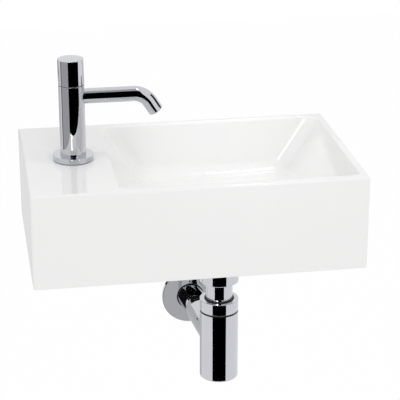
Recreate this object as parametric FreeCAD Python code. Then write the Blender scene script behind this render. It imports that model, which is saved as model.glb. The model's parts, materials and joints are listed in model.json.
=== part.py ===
"""Wall hung hand basin with a pillar tap, a waste and a bottle trap.

+X points to the right, -Y out of the wall and +Z up. The origin lies on the wall plane, midway between
the two wall bolts. Every length is in millimetres and every angle in degrees.
"""

import FreeCAD
import Part
import math
import os

Vector = FreeCAD.Vector
UP = Vector(0, 0, 1)
BACK = Vector(0, 1, 0)
RIGHT = Vector(1, 0, 0)

# Basin
BASIN_WIDTH = 370.0
BASIN_DEPTH = 230.0
BASIN_HEIGHT = 108.0
EDGE_RADIUS = 3.0
FOOT_RADIUS = 1.5
SIDE_WALL = 9.0
BACK_WALL = 10.0
DECK_THICKNESS = 12.0
CAVITY_RADIUS = 7.0

# Bowl
DECK_WIDTH = 96.0  # from the left face to the bowl's left edge
FRONT_RIM = 12.0
BACK_RIM = 9.0
RIGHT_RIM = 8.0
BOWL_DEPTH = 66.5
BOWL_SHELL = 9.0
BOWL_FLOOR_RADIUS = 1400.0  # the floor's slight fall to the drain
BOWL_HEEL_RADIUS = 26.0  # between the floor and the sides
BOWL_SIDE_LEAN = 35.0  # left and right, from upright
BOWL_END_LEAN = 8.0  # front and back, from upright
BOWL_FRONT_RADIUS = 8.0
BOWL_BACK_RADIUS = 20.0
BOWL_LIP_RADIUS = 4.0

# Drain
DRAIN_FROM_LEFT = 223.5
DRAIN_FROM_FRONT = 115.0
DRAIN_BOSS_MARGIN = 4.5  # around the waste's flange
DRAIN_BOSS_THICKNESS = 14.0  # from the floor's lowest point to the boss's flat foot
DRAIN_RECESS = 3.0

# Wall bolts, nominal 8 mm
BOLT_DROP = 76.0  # from the rim to the bolts
BOLT_INSET = 25.0  # from each side face
BOLT_SHANK_RADIUS = 4.0
BOLT_SHANK_LENGTH = 12.0
BOLT_WALL_LENGTH = 50.0  # from the wall plane to the tip
BOLT_SCREW_PITCH = 3.6
BOLT_SCREW_DEPTH = 0.9
BOLT_THREAD_RADIUS = 3.8
BOLT_THREAD_PITCH = 1.25
BOLT_THREAD_DEPTH = 0.5
BOLT_END_LENGTH = 6.0  # past the nut
BUSH_BARREL_RADIUS = 7.8
BUSH_FLANGE_RADIUS = 11.0
BUSH_FLANGE = 2.5
BUSH_GAP = 0.3  # around the barrel and ahead of the wall
BOLT_WASHER_RADIUS = 10.5
BOLT_WASHER = 1.6
BOLT_NUT_FLATS = 13.0
BOLT_NUT_HEIGHT = 6.5

# Tap: heights are above the deck
TAP_FROM_LEFT = 56.0
TAP_FROM_FRONT = 112.0
TAP_HOLE_RADIUS = 17.5
TAP_RADIUS = 14.5
TAP_HEIGHT = 116.7
TAP_SEAM_HEIGHT = 87.1
TAP_SEAM = 0.6
TAP_WALL = 2.6
TAP_FOOT_WALL = 12.0
TAP_BORE_RADIUS = 9.0  # below the ledge
TAP_LEDGE_HEIGHT = 56.0
TAP_LEDGE = 5.0
TAP_LEDGE_HOLE_RADIUS = 5.5
TAP_RING_RADIUS = 22.7
TAP_RING_HEIGHT = 6.6
TAP_RING_FLOOR = 1.6
TAP_RING_EDGE = 0.8
TAP_SEAL = 0.8
TAP_SEAL_INSET = 1.0
TAIL_RADIUS = 10.48  # half-inch pipe thread
TAIL_WALL = 2.88
TAIL_LENGTH = 56.0  # below the deck's top
TAIL_LEAD = 6.0  # plain end of the tail
TAIL_PITCH = 1.814
TAIL_THREAD_DEPTH = 0.8
TAP_WASHER_RADIUS = 22.5
TAP_RUBBER_WASHER = 3.0
TAP_STEEL_WASHER = 2.0
TAP_BACKNUT_FLATS = 30.0
TAP_BACKNUT_HEIGHT = 8.0

# Spout
SPOUT_RADIUS = 7.5
SPOUT_WALL = 1.4
SPOUT_HEIGHT = 73.2
SPOUT_REACH = 69.0  # from the column's axis to the start of the bend
SPOUT_BEND_RADIUS = 21.5
SPOUT_BEND = 58.0
SPOUT_END_LENGTH = 12.0
AERATOR_LENGTH = 7.0
AERATOR_WALL = 1.1
AERATOR_INSET = 0.6
SCREEN_THICKNESS = 1.0
SCREEN_HOLE_RADIUS = 0.7
SCREEN_RINGS = 2
SCREEN_RING_HOLES = 6  # in the first ring, and as many more in each ring outside it

# Headwork: heights are above the ledge it stands on
HEADWORK_SEAT = 1.5
HEADWORK_RADIUS = 9.6
HEADWORK_HEAD = 5.0  # height of the threaded head, flush with the column's top
HEADWORK_HEX_FLATS = 17.0
HEADWORK_HEX = 4.5
HEADWORK_CHAMBER_RADIUS = 7.0
HEADWORK_FLOOR = 1.5
HEADWORK_INLET_RADIUS = 5.5
HEADWORK_WINDOW = 8.0
DISC_THICKNESS = 3.2
DISC_PORT_RADIUS = 1.9
DISC_PORT_CENTRE = 4.0
DISC_GAP = 0.05
SPINDLE_FOOT = 11.0
SPINDLE_RADIUS = 4.0
SPINDLE_FLAT = 0.6
SPINDLE_SEAL_HEIGHT = 2.0
SPINDLE_SEAL_WIDTH = 1.6
TURNING_GAP = 0.05

# Knob
KNOB_SKIRT = 10.5  # depth of the pocket over the headwork
KNOB_WALL = 2.4
KNOB_EDGE = 0.6
KNOB_ROOF = 8.5
KNOB_BORE_END = 0.5  # between the spindle's end and the roof
SET_SCREW_RADIUS = 2.0
SET_SCREW_LENGTH = 7.5
SET_SCREW_DROP = 5.0  # below the bore's roof
SET_SCREW_KEY = 2.0
SET_SCREW_KEY_DEPTH = 2.0

# Waste, inch-and-a-quarter thread: heights are from the floor's lowest point
WASTE_RADIUS = 20.95
WASTE_WALL = 3.95
WASTE_FLANGE_RADIUS = 31.5
WASTE_FLANGE = 3.2
WASTE_EDGE = 1.2
WASTE_UPPER_SEAL = 1.0
WASTE_PITCH = 2.309
WASTE_THREAD_DEPTH = 0.9
WASTE_BRIDGE_DROP = 16.0
WASTE_BRIDGE_HEIGHT = 8.0
WASTE_BRIDGE_WIDTH = 3.0
WASTE_BRIDGE_HUB_RADIUS = 6.0
WASTE_BRIDGE_ARMS = 3
GRID_RADIUS = 22.0
GRID_THICKNESS = 1.6
GRID_SLOTS = 12
GRID_SLOT_WIDTH = 3.4
GRID_SLOT_INNER = 9.5
WASTE_SCREW_RADIUS = 3.0
WASTE_SCREW_HEAD_RADIUS = 5.6
WASTE_SCREW_HEAD = 1.2
WASTE_SCREW_SLOT = 1.2
WASTE_LOWER_SEAL = 3.0
WASTE_LOWER_SEAL_RADIUS = 32.0
WASTE_BACKNUT_FLATS = 56.0
WASTE_BACKNUT_HEIGHT = 9.0

# Trap: drops are from the basin's foot
UNION_WALL = 2.3
UNION_DROP = 54.5
UNION_HEIGHT = 22.0
UNION_FLOOR = 3.0
UNION_SEAL = 2.5
UNION_EDGE = 1.0
PIPE_RADIUS = 16.0
PIPE_WALL = 1.5
PIPE_COLLAR_GAP = 1.0  # between the collar and the union nut's thread
PIPE_COLLAR = 2.0
CAP_DROP = 77.3
SEAM_DROP = 92.3
SEAM = 2.2
SEAM_RING_INSET = 0.9
BOTTLE_RADIUS = 23.0
BOTTLE_WALL = 1.6
BOTTLE_DROP = 179.0
BOTTLE_FLOOR = 3.0
BOTTLE_EDGE = 1.6
CAP_EDGE = 0.5
CAP_SKIRT = 9.0
CAP_SKIRT_WALL = 1.8
CAP_FLANGE = 2.5  # the cap's top, over the seal
CAP_SEAL_HEIGHT = 5.0
CAP_SEAL_LIP = 1.6
CAP_SEAL_PROUD = 1.2  # the lip above the cap's top
PIPE_END_GAP = 8.0  # between the inlet pipe's end and the bottle's floor
OUTLET_DROP = 124.0
OUTLET_SKEW = 9.0
BRANCH_ROOT_RADIUS = 22.0  # at the bottle's axis
BRANCH_WALL = 1.95  # at the mouth
BRANCH_LENGTH = 66.0
BRANCH_EDGE = 0.8
BRANCH_FILLET = 3.0  # between the branch and the bottle
OUTLET_SEAL_INSET = 3.0
OUTLET_SEAL_LENGTH = 4.0
OUTLET_SEAL_DEPTH = 1.1
WALL_PIPE_OVERLAP = 30.0
WALL_PIPE_PAST_WALL = 42.0
PIPE_MARK_AT = 3.0  # the depth mark, past the wall plane
PIPE_MARK_WIDTH = 1.0
PIPE_MARK_DEPTH = 0.3

# Rosette
ROSETTE_RADIUS = 35.5
ROSETTE_DEPTH = 6.0
ROSETTE_WALL = 1.4
ROSETTE_EDGE = 0.8
ROSETTE_HOLE_GAP = 1.1
GRIP_RING_WIDTH = 6.0
GRIP_RING_LENGTH = 3.0

# Clearances
FIT_GAP = 0.05  # threads, glued and pushed fits
WASHER_GAP = 0.4  # washers and plates around what passes through them
DRAIN_GAP = 0.5  # the waste's flange in its recess
DRAIN_HOLE_GAP = 2.05  # the waste's tail in the ceramic

# Derived places
RIM_Z = BOLT_DROP
FOOT_Z = RIM_Z - BASIN_HEIGHT
LEFT_X = -BASIN_WIDTH / 2
RIGHT_X = BASIN_WIDTH / 2
FRONT_Y = -BASIN_DEPTH
BOLT_X = BASIN_WIDTH / 2 - BOLT_INSET
DRAIN_X = LEFT_X + DRAIN_FROM_LEFT
DRAIN_Y = FRONT_Y + DRAIN_FROM_FRONT
FLOOR_Z = RIM_Z - BOWL_DEPTH
TAP_ORIGIN = Vector(LEFT_X + TAP_FROM_LEFT, FRONT_Y + TAP_FROM_FRONT, RIM_Z)
DRAIN_ORIGIN = Vector(DRAIN_X, DRAIN_Y, FLOOR_Z)
TRAP_ORIGIN = Vector(DRAIN_X, DRAIN_Y, FOOT_Z)
OUTLET_ORIGIN = Vector(DRAIN_X, DRAIN_Y, FOOT_Z - OUTLET_DROP)
OUTLET_TO_WALL = -DRAIN_Y / math.cos(math.radians(OUTLET_SKEW))
ROSETTE_X = DRAIN_X + (DRAIN_Y + ROSETTE_DEPTH) * math.tan(math.radians(OUTLET_SKEW))
SPOUT_INNER_RADIUS = SPOUT_RADIUS - SPOUT_WALL
TAP_CHAMBER_RADIUS = TAP_RADIUS - TAP_WALL
WASTE_FOOT = FOOT_Z - UNION_DROP + UNION_FLOOR + PIPE_COLLAR + UNION_SEAL - FLOOR_Z
GRID_TOP = WASTE_UPPER_SEAL - DRAIN_RECESS + WASTE_FLANGE
BOTTLE_BORE_RADIUS = BOTTLE_RADIUS - BOTTLE_WALL
BRANCH_BORE_RADIUS = PIPE_RADIUS + FIT_GAP
BRANCH_MOUTH_RADIUS = BRANCH_BORE_RADIUS + BRANCH_WALL
GRIP_RING_RADIUS = PIPE_RADIUS + GRIP_RING_WIDTH
UNION_BORE_RADIUS = WASTE_RADIUS + FIT_GAP
UNION_RADIUS = UNION_BORE_RADIUS + UNION_WALL
PIPE_COLLAR_RADIUS = UNION_BORE_RADIUS - PIPE_COLLAR_GAP
DRAIN_HOLE_RADIUS = WASTE_RADIUS + DRAIN_HOLE_GAP
DRAIN_BOSS_RADIUS = WASTE_FLANGE_RADIUS + DRAIN_BOSS_MARGIN
WASTE_BORE_RADIUS = WASTE_RADIUS - WASTE_WALL
GRID_SLOT_OUTER = WASTE_BORE_RADIUS - GRID_SLOT_WIDTH / 2
TAIL_BORE_RADIUS = TAIL_RADIUS - TAIL_WALL
HEADWORK_HEAD_TOP = TAP_SEAM_HEIGHT - TAP_LEDGE_HEIGHT
HEADWORK_HEAD_LOW = HEADWORK_HEAD_TOP - HEADWORK_HEAD
HEADWORK_TOP = HEADWORK_HEAD_TOP + HEADWORK_HEX
SPINDLE_SEAL_LOW = HEADWORK_HEAD_LOW + (HEADWORK_HEAD - SPINDLE_SEAL_HEIGHT) / 2
KNOB_TOP = TAP_HEIGHT - TAP_LEDGE_HEIGHT
KNOB_LOW = HEADWORK_HEAD_TOP + TAP_SEAM
KNOB_GRIP_LOW = KNOB_LOW + KNOB_SKIRT
KNOB_GRIP_TOP = KNOB_TOP - KNOB_ROOF
SPINDLE_TOP = KNOB_GRIP_TOP - KNOB_BORE_END
SET_SCREW_HEIGHT = KNOB_GRIP_TOP - SET_SCREW_DROP


def cylinder(radius, low, high):
    """Upright cylinder on the local Z axis."""
    return Part.makeCylinder(radius, high - low, Vector(0, 0, low))


def ring(outer, inner, low, high):
    """Upright ring on the local Z axis."""
    return cylinder(outer, low, high).cut(cylinder(inner, low - 1, high + 1))


def rod(radius, start, end):
    """Cylinder along the local Y axis."""
    return Part.makeCylinder(radius, end - start, Vector(0, start, 0), BACK)


def tube(outer, inner, start, end):
    """Pipe along the local Y axis."""
    return rod(outer, start, end).cut(rod(inner, start - 1, end + 1))


def block(x_low, x_high, y_low, y_high, z_low, z_high):
    """Box between two corners."""
    size = (x_high - x_low, y_high - y_low, z_high - z_low)
    return Part.makeBox(*size, Vector(x_low, y_low, z_low))


def turned(points):
    """Solid of revolution about the local Z axis from (radius, height) points."""
    corners = [Vector(radius, 0, height) for radius, height in points]
    face = Part.Face(Part.makePolygon(corners + corners[:1]))
    return face.revolve(Vector(0, 0, 0), UP, 360)


def threaded(radius, depth, pitch, low, high):
    """Upright rod with thread grooves from low to high."""
    count = max(1, int((high - low) / pitch))
    step = (high - low) / count
    points = [(0, low), (radius, low)]
    for turn in range(count):
        points.append((radius - depth, low + (turn + 0.5) * step))
        points.append((radius, low + (turn + 1) * step))
    points.append((0, high))
    return turned(points)


def hexagon(flats, low, high):
    """Hexagonal prism on the local Z axis, chamfered at its corners."""
    corner = flats / math.sqrt(3)
    corners = [
        Vector(corner * math.cos(math.radians(60 * k)), corner * math.sin(math.radians(60 * k)), low)
        for k in range(7)
    ]
    prism = Part.Face(Part.makePolygon(corners)).extrude(UP * (high - low))
    chamfer = (corner - flats / 2) * math.tan(math.radians(30))
    top = high - chamfer
    turning = turned([(0, low), (corner, low), (corner, top), (flats / 2, high), (0, high)])
    return prism.common(turning)


def hex_nut(flats, bore, low, high):
    """Hexagon nut on the local Z axis."""
    return hexagon(flats, low, high).cut(cylinder(bore, low - 1, high + 1))


def around(shape, count):
    """Copies of a shape spread evenly about the local Z axis."""
    copies = []
    for k in range(count):
        copy = shape.copy()
        copy.rotate(Vector(0, 0, 0), UP, 360.0 * k / count)
        copies.append(copy)
    return copies


def rim_edges(shape, height, radius):
    """Circular edges of one radius at one height of a turned shape."""
    found = []
    for edge in shape.Edges:
        circle = edge.Curve
        if isinstance(circle, Part.Circle) and abs(circle.Radius - radius) < 1e-6:
            if abs(circle.Center.z - height) < 1e-6:
                found.append(edge)
    return found


def level(edge, axis, value):
    """Whether the whole edge lies at one value of X (0), Y (1) or Z (2)."""
    box = edge.BoundBox
    low, high = ((box.XMin, box.XMax), (box.YMin, box.YMax), (box.ZMin, box.ZMax))[axis]
    return abs(low - value) < 1e-3 and abs(high - value) < 1e-3


def eased(shape, size, height, radius):
    """A turned shape with the circular edge at this height and radius rounded."""
    return shape.makeFillet(size, rim_edges(shape, height, radius))


def placed(shape, origin):
    """A copy of the shape moved so that its local origin lands on this point."""
    copy = shape.copy()
    copy.translate(origin)
    return copy


def along_outlet(shape):
    """A shape built along the local Y axis, laid along the trap's outlet."""
    copy = shape.copy()
    copy.rotate(Vector(0, 0, 0), UP, OUTLET_SKEW)
    return placed(copy, OUTLET_ORIGIN)


def at_bolts(shape):
    """One piece at each of the two wall bolts."""
    return Part.Compound([placed(shape, Vector(side * BOLT_X, 0, 0)) for side in (-1, 1)])


# Basin


def bowl_flank(side, lip_x, floor, grow, top):
    """One leaning side of the bowl's section: the floor's end, the heel's middle and end, and the top."""
    lean = math.radians(BOWL_SIDE_LEAN)
    outward = Vector(side * math.cos(lean), 0, -math.sin(lean))
    down = Vector(-side * math.sin(lean), 0, -math.cos(lean))
    reach = BOWL_FLOOR_RADIUS - BOWL_HEEL_RADIUS
    start = Vector(lip_x, 0, RIM_Z) - outward * BOWL_HEEL_RADIUS - floor
    along = start.dot(down)
    slide = -along + math.sqrt(along**2 - start.dot(start) + reach**2)
    below = start + down * slide
    heel = floor + below
    below.normalize()
    floor_end = floor + below * (BOWL_FLOOR_RADIUS + grow)
    heel_middle = heel + (below + outward).normalize() * (BOWL_HEEL_RADIUS + grow)
    heel_end = heel + outward * (BOWL_HEEL_RADIUS + grow)
    return floor_end, heel_middle, heel_end, heel_end - down * ((top - heel_end.z) / -down.z)


def bowl_section(grow, top):
    """Section across the bowl's width as a face in the XZ plane, offset outwards by grow."""
    floor = Vector(DRAIN_X, 0, FLOOR_Z + BOWL_FLOOR_RADIUS)
    left = bowl_flank(-1, LEFT_X + DECK_WIDTH, floor, grow, top)
    right = bowl_flank(1, RIGHT_X - RIGHT_RIM, floor, grow, top)
    floor_middle = floor - UP * (BOWL_FLOOR_RADIUS + grow)
    edges = [
        Part.LineSegment(left[3], left[2]).toShape(),
        Part.Arc(left[2], left[1], left[0]).toShape(),
        Part.Arc(left[0], floor_middle, right[0]).toShape(),
        Part.Arc(right[0], right[1], right[2]).toShape(),
        Part.LineSegment(right[2], right[3]).toShape(),
        Part.LineSegment(right[3], left[3]).toShape(),
    ]
    return Part.Face(Part.Wire(edges))


def bowl_body(grow, top):
    """The bowl's space up to a height, offset outwards by grow, with its front and back corners rounded."""
    tall = top + 2 * (BOWL_BACK_RADIUS + grow)
    section = bowl_section(grow, tall)
    section.translate(Vector(0, FRONT_Y - tall, 0))
    prism = section.extrude(BACK * (BASIN_DEPTH + 2 * tall))

    lean = math.radians(BOWL_END_LEAN)
    widening = grow / math.cos(lean) + (tall - RIM_Z) * math.tan(lean)
    front = FRONT_Y + FRONT_RIM - widening
    back = -BACK_RIM + widening
    bottom = FLOOR_Z - 2 * grow - 1
    fall = (tall - bottom) * math.tan(lean)
    corners = [
        Vector(LEFT_X, front, tall),
        Vector(LEFT_X, front + fall, bottom),
        Vector(LEFT_X, back - fall, bottom),
        Vector(LEFT_X, back, tall),
    ]
    ends = Part.Face(Part.makePolygon(corners + corners[:1])).extrude(RIGHT * 2 * BASIN_WIDTH)
    body = prism.common(ends)
    for side, radius in ((-1, BOWL_FRONT_RADIUS), (1, BOWL_BACK_RADIUS)):
        end = next(face for face in body.Faces if side * face.normalAt(0, 0).y > 0.9)
        chain = [edge for edge in end.Edges if not level(edge, 2, tall)]
        body = body.makeFillet(radius + grow, chain)
    return body.common(block(LEFT_X, 2 * RIGHT_X, FRONT_Y - tall, tall, bottom - 1, top))


def basin():
    """Ceramic body: a box with a bowl let into it and an open hollow underneath."""
    outside = block(LEFT_X, RIGHT_X, FRONT_Y, 0, FOOT_Z, RIM_Z)
    soft = []
    for edge in outside.Edges:
        upright_at_front = level(edge, 1, FRONT_Y) and not level(edge, 2, FOOT_Z)
        if level(edge, 2, RIM_Z) or upright_at_front:
            soft.append(edge)
    outside = outside.makeFillet(EDGE_RADIUS, soft)
    foot = [edge for edge in outside.Edges if level(edge, 2, FOOT_Z) and not level(edge, 1, 0)]
    outside = outside.makeFillet(FOOT_RADIUS, foot)

    hollow = block(
        LEFT_X + SIDE_WALL,
        RIGHT_X - SIDE_WALL,
        FRONT_Y + SIDE_WALL,
        -BACK_WALL,
        FOOT_Z - CAVITY_RADIUS - 1,
        RIM_Z - DECK_THICKNESS,
    )
    corners = [edge for edge in hollow.Edges if edge.BoundBox.ZMax > FOOT_Z]
    hollow = hollow.makeFillet(CAVITY_RADIUS, corners)
    shell = bowl_body(BOWL_SHELL, RIM_Z)
    boss = placed(cylinder(DRAIN_BOSS_RADIUS, -DRAIN_BOSS_THICKNESS, 0), DRAIN_ORIGIN)
    hollow = hollow.cut(shell.fuse(boss))

    body = outside.cut(hollow)
    body = body.cut(bowl_body(0, RIM_Z + EDGE_RADIUS))
    lip = []
    for edge in body.Edges:
        box = edge.BoundBox
        inside_x = box.XMin > LEFT_X + DECK_WIDTH - 1e-3 and box.XMax < RIGHT_X - EDGE_RADIUS - 1e-3
        inside_y = box.YMin > FRONT_Y + EDGE_RADIUS + 1e-3 and box.YMax < -EDGE_RADIUS - 1e-3
        if level(edge, 2, RIM_Z) and inside_x and inside_y:
            lip.append(edge)
    body = body.makeFillet(BOWL_LIP_RADIUS, lip)

    recess_radius = WASTE_FLANGE_RADIUS + DRAIN_GAP
    recess = placed(cylinder(recess_radius, -DRAIN_RECESS, DRAIN_BOSS_THICKNESS), DRAIN_ORIGIN)
    drain = placed(cylinder(DRAIN_HOLE_RADIUS, -2 * DRAIN_BOSS_THICKNESS, 0), DRAIN_ORIGIN)
    tap_hole = placed(cylinder(TAP_HOLE_RADIUS, -2 * DECK_THICKNESS, 1), TAP_ORIGIN)
    bolt_holes = at_bolts(rod(BUSH_BARREL_RADIUS + BUSH_GAP, -BACK_WALL - 1, 1))
    return body.cut([recess, drain, tap_hole, bolt_holes])


# Wall bolts


def bush_face():
    """Y of the bush flange's free face."""
    return -BACK_WALL - BUSH_FLANGE


def wall_bolts():
    """Two hanger bolts: screw thread in the wall, plain shank, machine thread for the nut."""
    nut_face = bush_face() - BOLT_WASHER - BOLT_NUT_HEIGHT
    front = nut_face - BOLT_END_LENGTH
    cone = 2 * BOLT_SHANK_RADIUS
    screw_end = BOLT_WALL_LENGTH - cone
    machine = threaded(BOLT_THREAD_RADIUS, BOLT_THREAD_DEPTH, BOLT_THREAD_PITCH, 0, -front)
    shank = cylinder(BOLT_SHANK_RADIUS, 0, BOLT_SHANK_LENGTH)
    screw = threaded(BOLT_SHANK_RADIUS, BOLT_SCREW_DEPTH, BOLT_SCREW_PITCH, BOLT_SHANK_LENGTH, screw_end)
    tip = Part.makeCone(BOLT_SHANK_RADIUS, BOLT_SCREW_DEPTH / 2, cone, Vector(0, 0, screw_end))
    machine.rotate(Vector(0, 0, 0), RIGHT, 180)
    bolt = shank.fuse([machine, screw, tip]).removeSplitter()
    bolt.rotate(Vector(0, 0, 0), RIGHT, -90)
    return at_bolts(bolt)


def wall_bolt_bushes():
    """Flanged plastic bushes that keep the bolts off the ceramic."""
    bore = BOLT_THREAD_RADIUS + FIT_GAP
    barrel = tube(BUSH_BARREL_RADIUS, bore, -BACK_WALL, -BUSH_GAP)
    flange = tube(BUSH_FLANGE_RADIUS, bore, bush_face(), -BACK_WALL)
    return at_bolts(barrel.fuse(flange).removeSplitter())


def wall_bolt_washers():
    """Steel washers under the nuts."""
    bore = BOLT_THREAD_RADIUS + WASHER_GAP
    return at_bolts(tube(BOLT_WASHER_RADIUS, bore, bush_face() - BOLT_WASHER, bush_face()))


def wall_bolt_nuts():
    """Hexagon nuts on the bolts' machine thread."""
    low = -bush_face() + BOLT_WASHER
    nut = hex_nut(BOLT_NUT_FLATS, BOLT_THREAD_RADIUS + FIT_GAP, low, low + BOLT_NUT_HEIGHT)
    nut.rotate(Vector(0, 0, 0), RIGHT, 90)
    return at_bolts(nut)


# Tap


def tap_base_seal():
    """Flat rubber ring between the deck and the foot ring."""
    outer = TAP_RING_RADIUS - TAP_SEAL_INSET
    return placed(ring(outer, TAP_HOLE_RADIUS + TAP_SEAL_INSET, 0, TAP_SEAL), TAP_ORIGIN)


def tap_base_ring():
    """Foot ring: the column stands in it, and the tail passes through it."""
    body = ring(TAP_RING_RADIUS, TAIL_RADIUS + WASHER_GAP, TAP_SEAL, TAP_RING_HEIGHT)
    body = eased(body, TAP_RING_EDGE, TAP_RING_HEIGHT, TAP_RING_RADIUS)
    floor = TAP_SEAL + TAP_RING_FLOOR
    body = body.cut(cylinder(TAP_RADIUS + FIT_GAP, floor, TAP_RING_HEIGHT + 1))
    return placed(body, TAP_ORIGIN)


def tap_body():
    """Column: bore below, ledge for the headwork, chamber above and a side hole for the spout."""
    foot = TAP_SEAL + TAP_RING_FLOOR
    body = cylinder(TAP_RADIUS, foot, TAP_SEAM_HEIGHT)
    tail_hole = cylinder(TAIL_RADIUS + FIT_GAP, foot - 1, foot + TAP_FOOT_WALL)
    bore = cylinder(TAP_BORE_RADIUS, foot, TAP_LEDGE_HEIGHT - TAP_LEDGE)
    ledge_hole = cylinder(TAP_LEDGE_HOLE_RADIUS, foot, TAP_SEAM_HEIGHT)
    chamber = cylinder(TAP_CHAMBER_RADIUS, TAP_LEDGE_HEIGHT, TAP_SEAM_HEIGHT + 1)
    spout_hole = Part.makeCylinder(
        SPOUT_RADIUS + FIT_GAP, TAP_RADIUS + 1, Vector(0, 0, SPOUT_HEIGHT), RIGHT
    )
    return placed(body.cut([tail_hole, bore, ledge_hole, chamber, spout_hole]), TAP_ORIGIN)


def tap_tail():
    """Threaded tail: clamps the tap to the deck and takes the water supply."""
    top = TAP_SEAL + TAP_RING_FLOOR + TAP_FOOT_WALL
    foot = -TAIL_LENGTH
    plain_low = foot + TAIL_LEAD
    thread = threaded(TAIL_RADIUS, TAIL_THREAD_DEPTH, TAIL_PITCH, plain_low, top)
    body = cylinder(TAIL_RADIUS, foot, plain_low).fuse(thread).removeSplitter()
    return placed(body.cut(cylinder(TAIL_BORE_RADIUS, foot - 1, top + 1)), TAP_ORIGIN)


def tap_rubber_washer():
    """Rubber washer against the deck's underside."""
    high = -DECK_THICKNESS
    body = ring(TAP_WASHER_RADIUS, TAIL_RADIUS + WASHER_GAP, high - TAP_RUBBER_WASHER, high)
    return placed(body, TAP_ORIGIN)


def tap_steel_washer():
    """Steel washer between the rubber washer and the backnut."""
    high = -DECK_THICKNESS - TAP_RUBBER_WASHER
    body = ring(TAP_WASHER_RADIUS, TAIL_RADIUS + WASHER_GAP, high - TAP_STEEL_WASHER, high)
    return placed(body, TAP_ORIGIN)


def tap_backnut():
    """Backnut that clamps the tap."""
    high = -DECK_THICKNESS - TAP_RUBBER_WASHER - TAP_STEEL_WASHER
    low = high - TAP_BACKNUT_HEIGHT
    return placed(hex_nut(TAP_BACKNUT_FLATS, TAIL_RADIUS + FIT_GAP, low, high), TAP_ORIGIN)


def spout_path():
    """Axis of the spout, from inside the column's wall to the mouth."""
    turn = math.radians(SPOUT_BEND)
    start = Vector(TAP_CHAMBER_RADIUS, 0, SPOUT_HEIGHT)
    bend = Vector(SPOUT_REACH, 0, SPOUT_HEIGHT)
    centre = bend - UP * SPOUT_BEND_RADIUS
    end = centre + Vector(math.sin(turn), 0, math.cos(turn)) * SPOUT_BEND_RADIUS
    mouth = end + spout_direction() * SPOUT_END_LENGTH
    return start, bend, end, mouth


def spout_direction():
    """Direction in which the water leaves the spout."""
    turn = math.radians(SPOUT_BEND)
    return Vector(math.cos(turn), 0, -math.sin(turn))


def swept(radius):
    """Round bar along the spout's axis."""
    start, bend, end, mouth = spout_path()
    straight = Part.makeCylinder(radius, (bend - start).Length, start, RIGHT)
    circle = Part.Face(Part.Wire(Part.makeCircle(radius, bend, RIGHT)))
    arc = circle.revolve(bend - UP * SPOUT_BEND_RADIUS, BACK, SPOUT_BEND)
    last = Part.makeCylinder(radius, (mouth - end).Length, end, spout_direction())
    return straight.fuse([arc, last]).removeSplitter()


def spout():
    """Spout tube, its root trimmed to the column's chamber."""
    body = swept(SPOUT_RADIUS).cut(swept(SPOUT_INNER_RADIUS))
    body = body.cut(cylinder(TAP_CHAMBER_RADIUS, 0, TAP_HEIGHT))
    return placed(body, TAP_ORIGIN)


def at_mouth(shape):
    """A shape whose local +Z points out of the mouth, placed in the spout's mouth."""
    copy = shape.copy()
    turn = FreeCAD.Rotation(UP, spout_direction())
    copy.Placement = FreeCAD.Placement(spout_path()[-1] + TAP_ORIGIN, turn).multiply(copy.Placement)
    return copy


def aerator_housing():
    """Sleeve pushed into the spout's mouth."""
    outer = SPOUT_INNER_RADIUS - FIT_GAP
    low = -AERATOR_INSET - AERATOR_LENGTH
    return at_mouth(ring(outer, outer - AERATOR_WALL, low, -AERATOR_INSET))


def aerator_screen():
    """Perforated screen inside the sleeve."""
    outer = SPOUT_INNER_RADIUS - AERATOR_WALL - 2 * FIT_GAP
    high = -AERATOR_INSET - SCREEN_THICKNESS
    low = high - SCREEN_THICKNESS
    disc = cylinder(outer, low, high)
    holes = [cylinder(SCREEN_HOLE_RADIUS, low - 1, high + 1)]
    for number in range(1, SCREEN_RINGS + 1):
        hole = cylinder(SCREEN_HOLE_RADIUS, low - 1, high + 1)
        hole.translate(RIGHT * outer * number / (SCREEN_RINGS + 0.5))
        holes += around(hole, SCREEN_RING_HOLES * number)
    return at_mouth(disc.cut(holes))


# Headwork


def on_ledge(shape):
    """A headwork piece placed on the column's ledge."""
    return placed(shape, TAP_ORIGIN + UP * TAP_LEDGE_HEIGHT)


def headwork_seat():
    """Rubber seat between the ledge and the headwork."""
    return on_ledge(ring(HEADWORK_RADIUS, HEADWORK_INLET_RADIUS, 0, HEADWORK_SEAT))


def headwork_body():
    """Headwork: chamber for the discs, side windows, threaded head and hexagon."""
    stem = cylinder(HEADWORK_RADIUS, HEADWORK_SEAT, HEADWORK_HEAD_LOW)
    head = cylinder(TAP_CHAMBER_RADIUS - FIT_GAP, HEADWORK_HEAD_LOW, HEADWORK_HEAD_TOP)
    nut = hexagon(HEADWORK_HEX_FLATS, HEADWORK_HEAD_TOP, HEADWORK_TOP)
    body = stem.fuse([head, nut]).removeSplitter()
    chamber_low = HEADWORK_SEAT + HEADWORK_FLOOR
    chamber_high = spindle_foot_top() + TURNING_GAP
    chamber = cylinder(HEADWORK_CHAMBER_RADIUS, chamber_low, chamber_high)
    inlet = cylinder(HEADWORK_INLET_RADIUS, 0, chamber_high)
    bore = cylinder(SPINDLE_RADIUS + TURNING_GAP, 0, HEADWORK_TOP + 1)
    seal_high = SPINDLE_SEAL_LOW + SPINDLE_SEAL_HEIGHT
    groove = cylinder(SPINDLE_RADIUS + SPINDLE_SEAL_WIDTH, SPINDLE_SEAL_LOW, seal_high)
    window = block(
        -HEADWORK_RADIUS - 1,
        HEADWORK_RADIUS + 1,
        -HEADWORK_WINDOW / 2,
        HEADWORK_WINDOW / 2,
        spindle_foot_low(),
        spindle_foot_top() - DISC_THICKNESS,
    )
    return on_ledge(body.cut([chamber, inlet, bore, groove, window]))


def disc_low():
    """Height of the lower disc's underside above the ledge."""
    return HEADWORK_SEAT + HEADWORK_FLOOR


def spindle_foot_low():
    """Height of the spindle foot's underside above the ledge."""
    return disc_low() + 2 * DISC_THICKNESS + DISC_GAP


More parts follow.
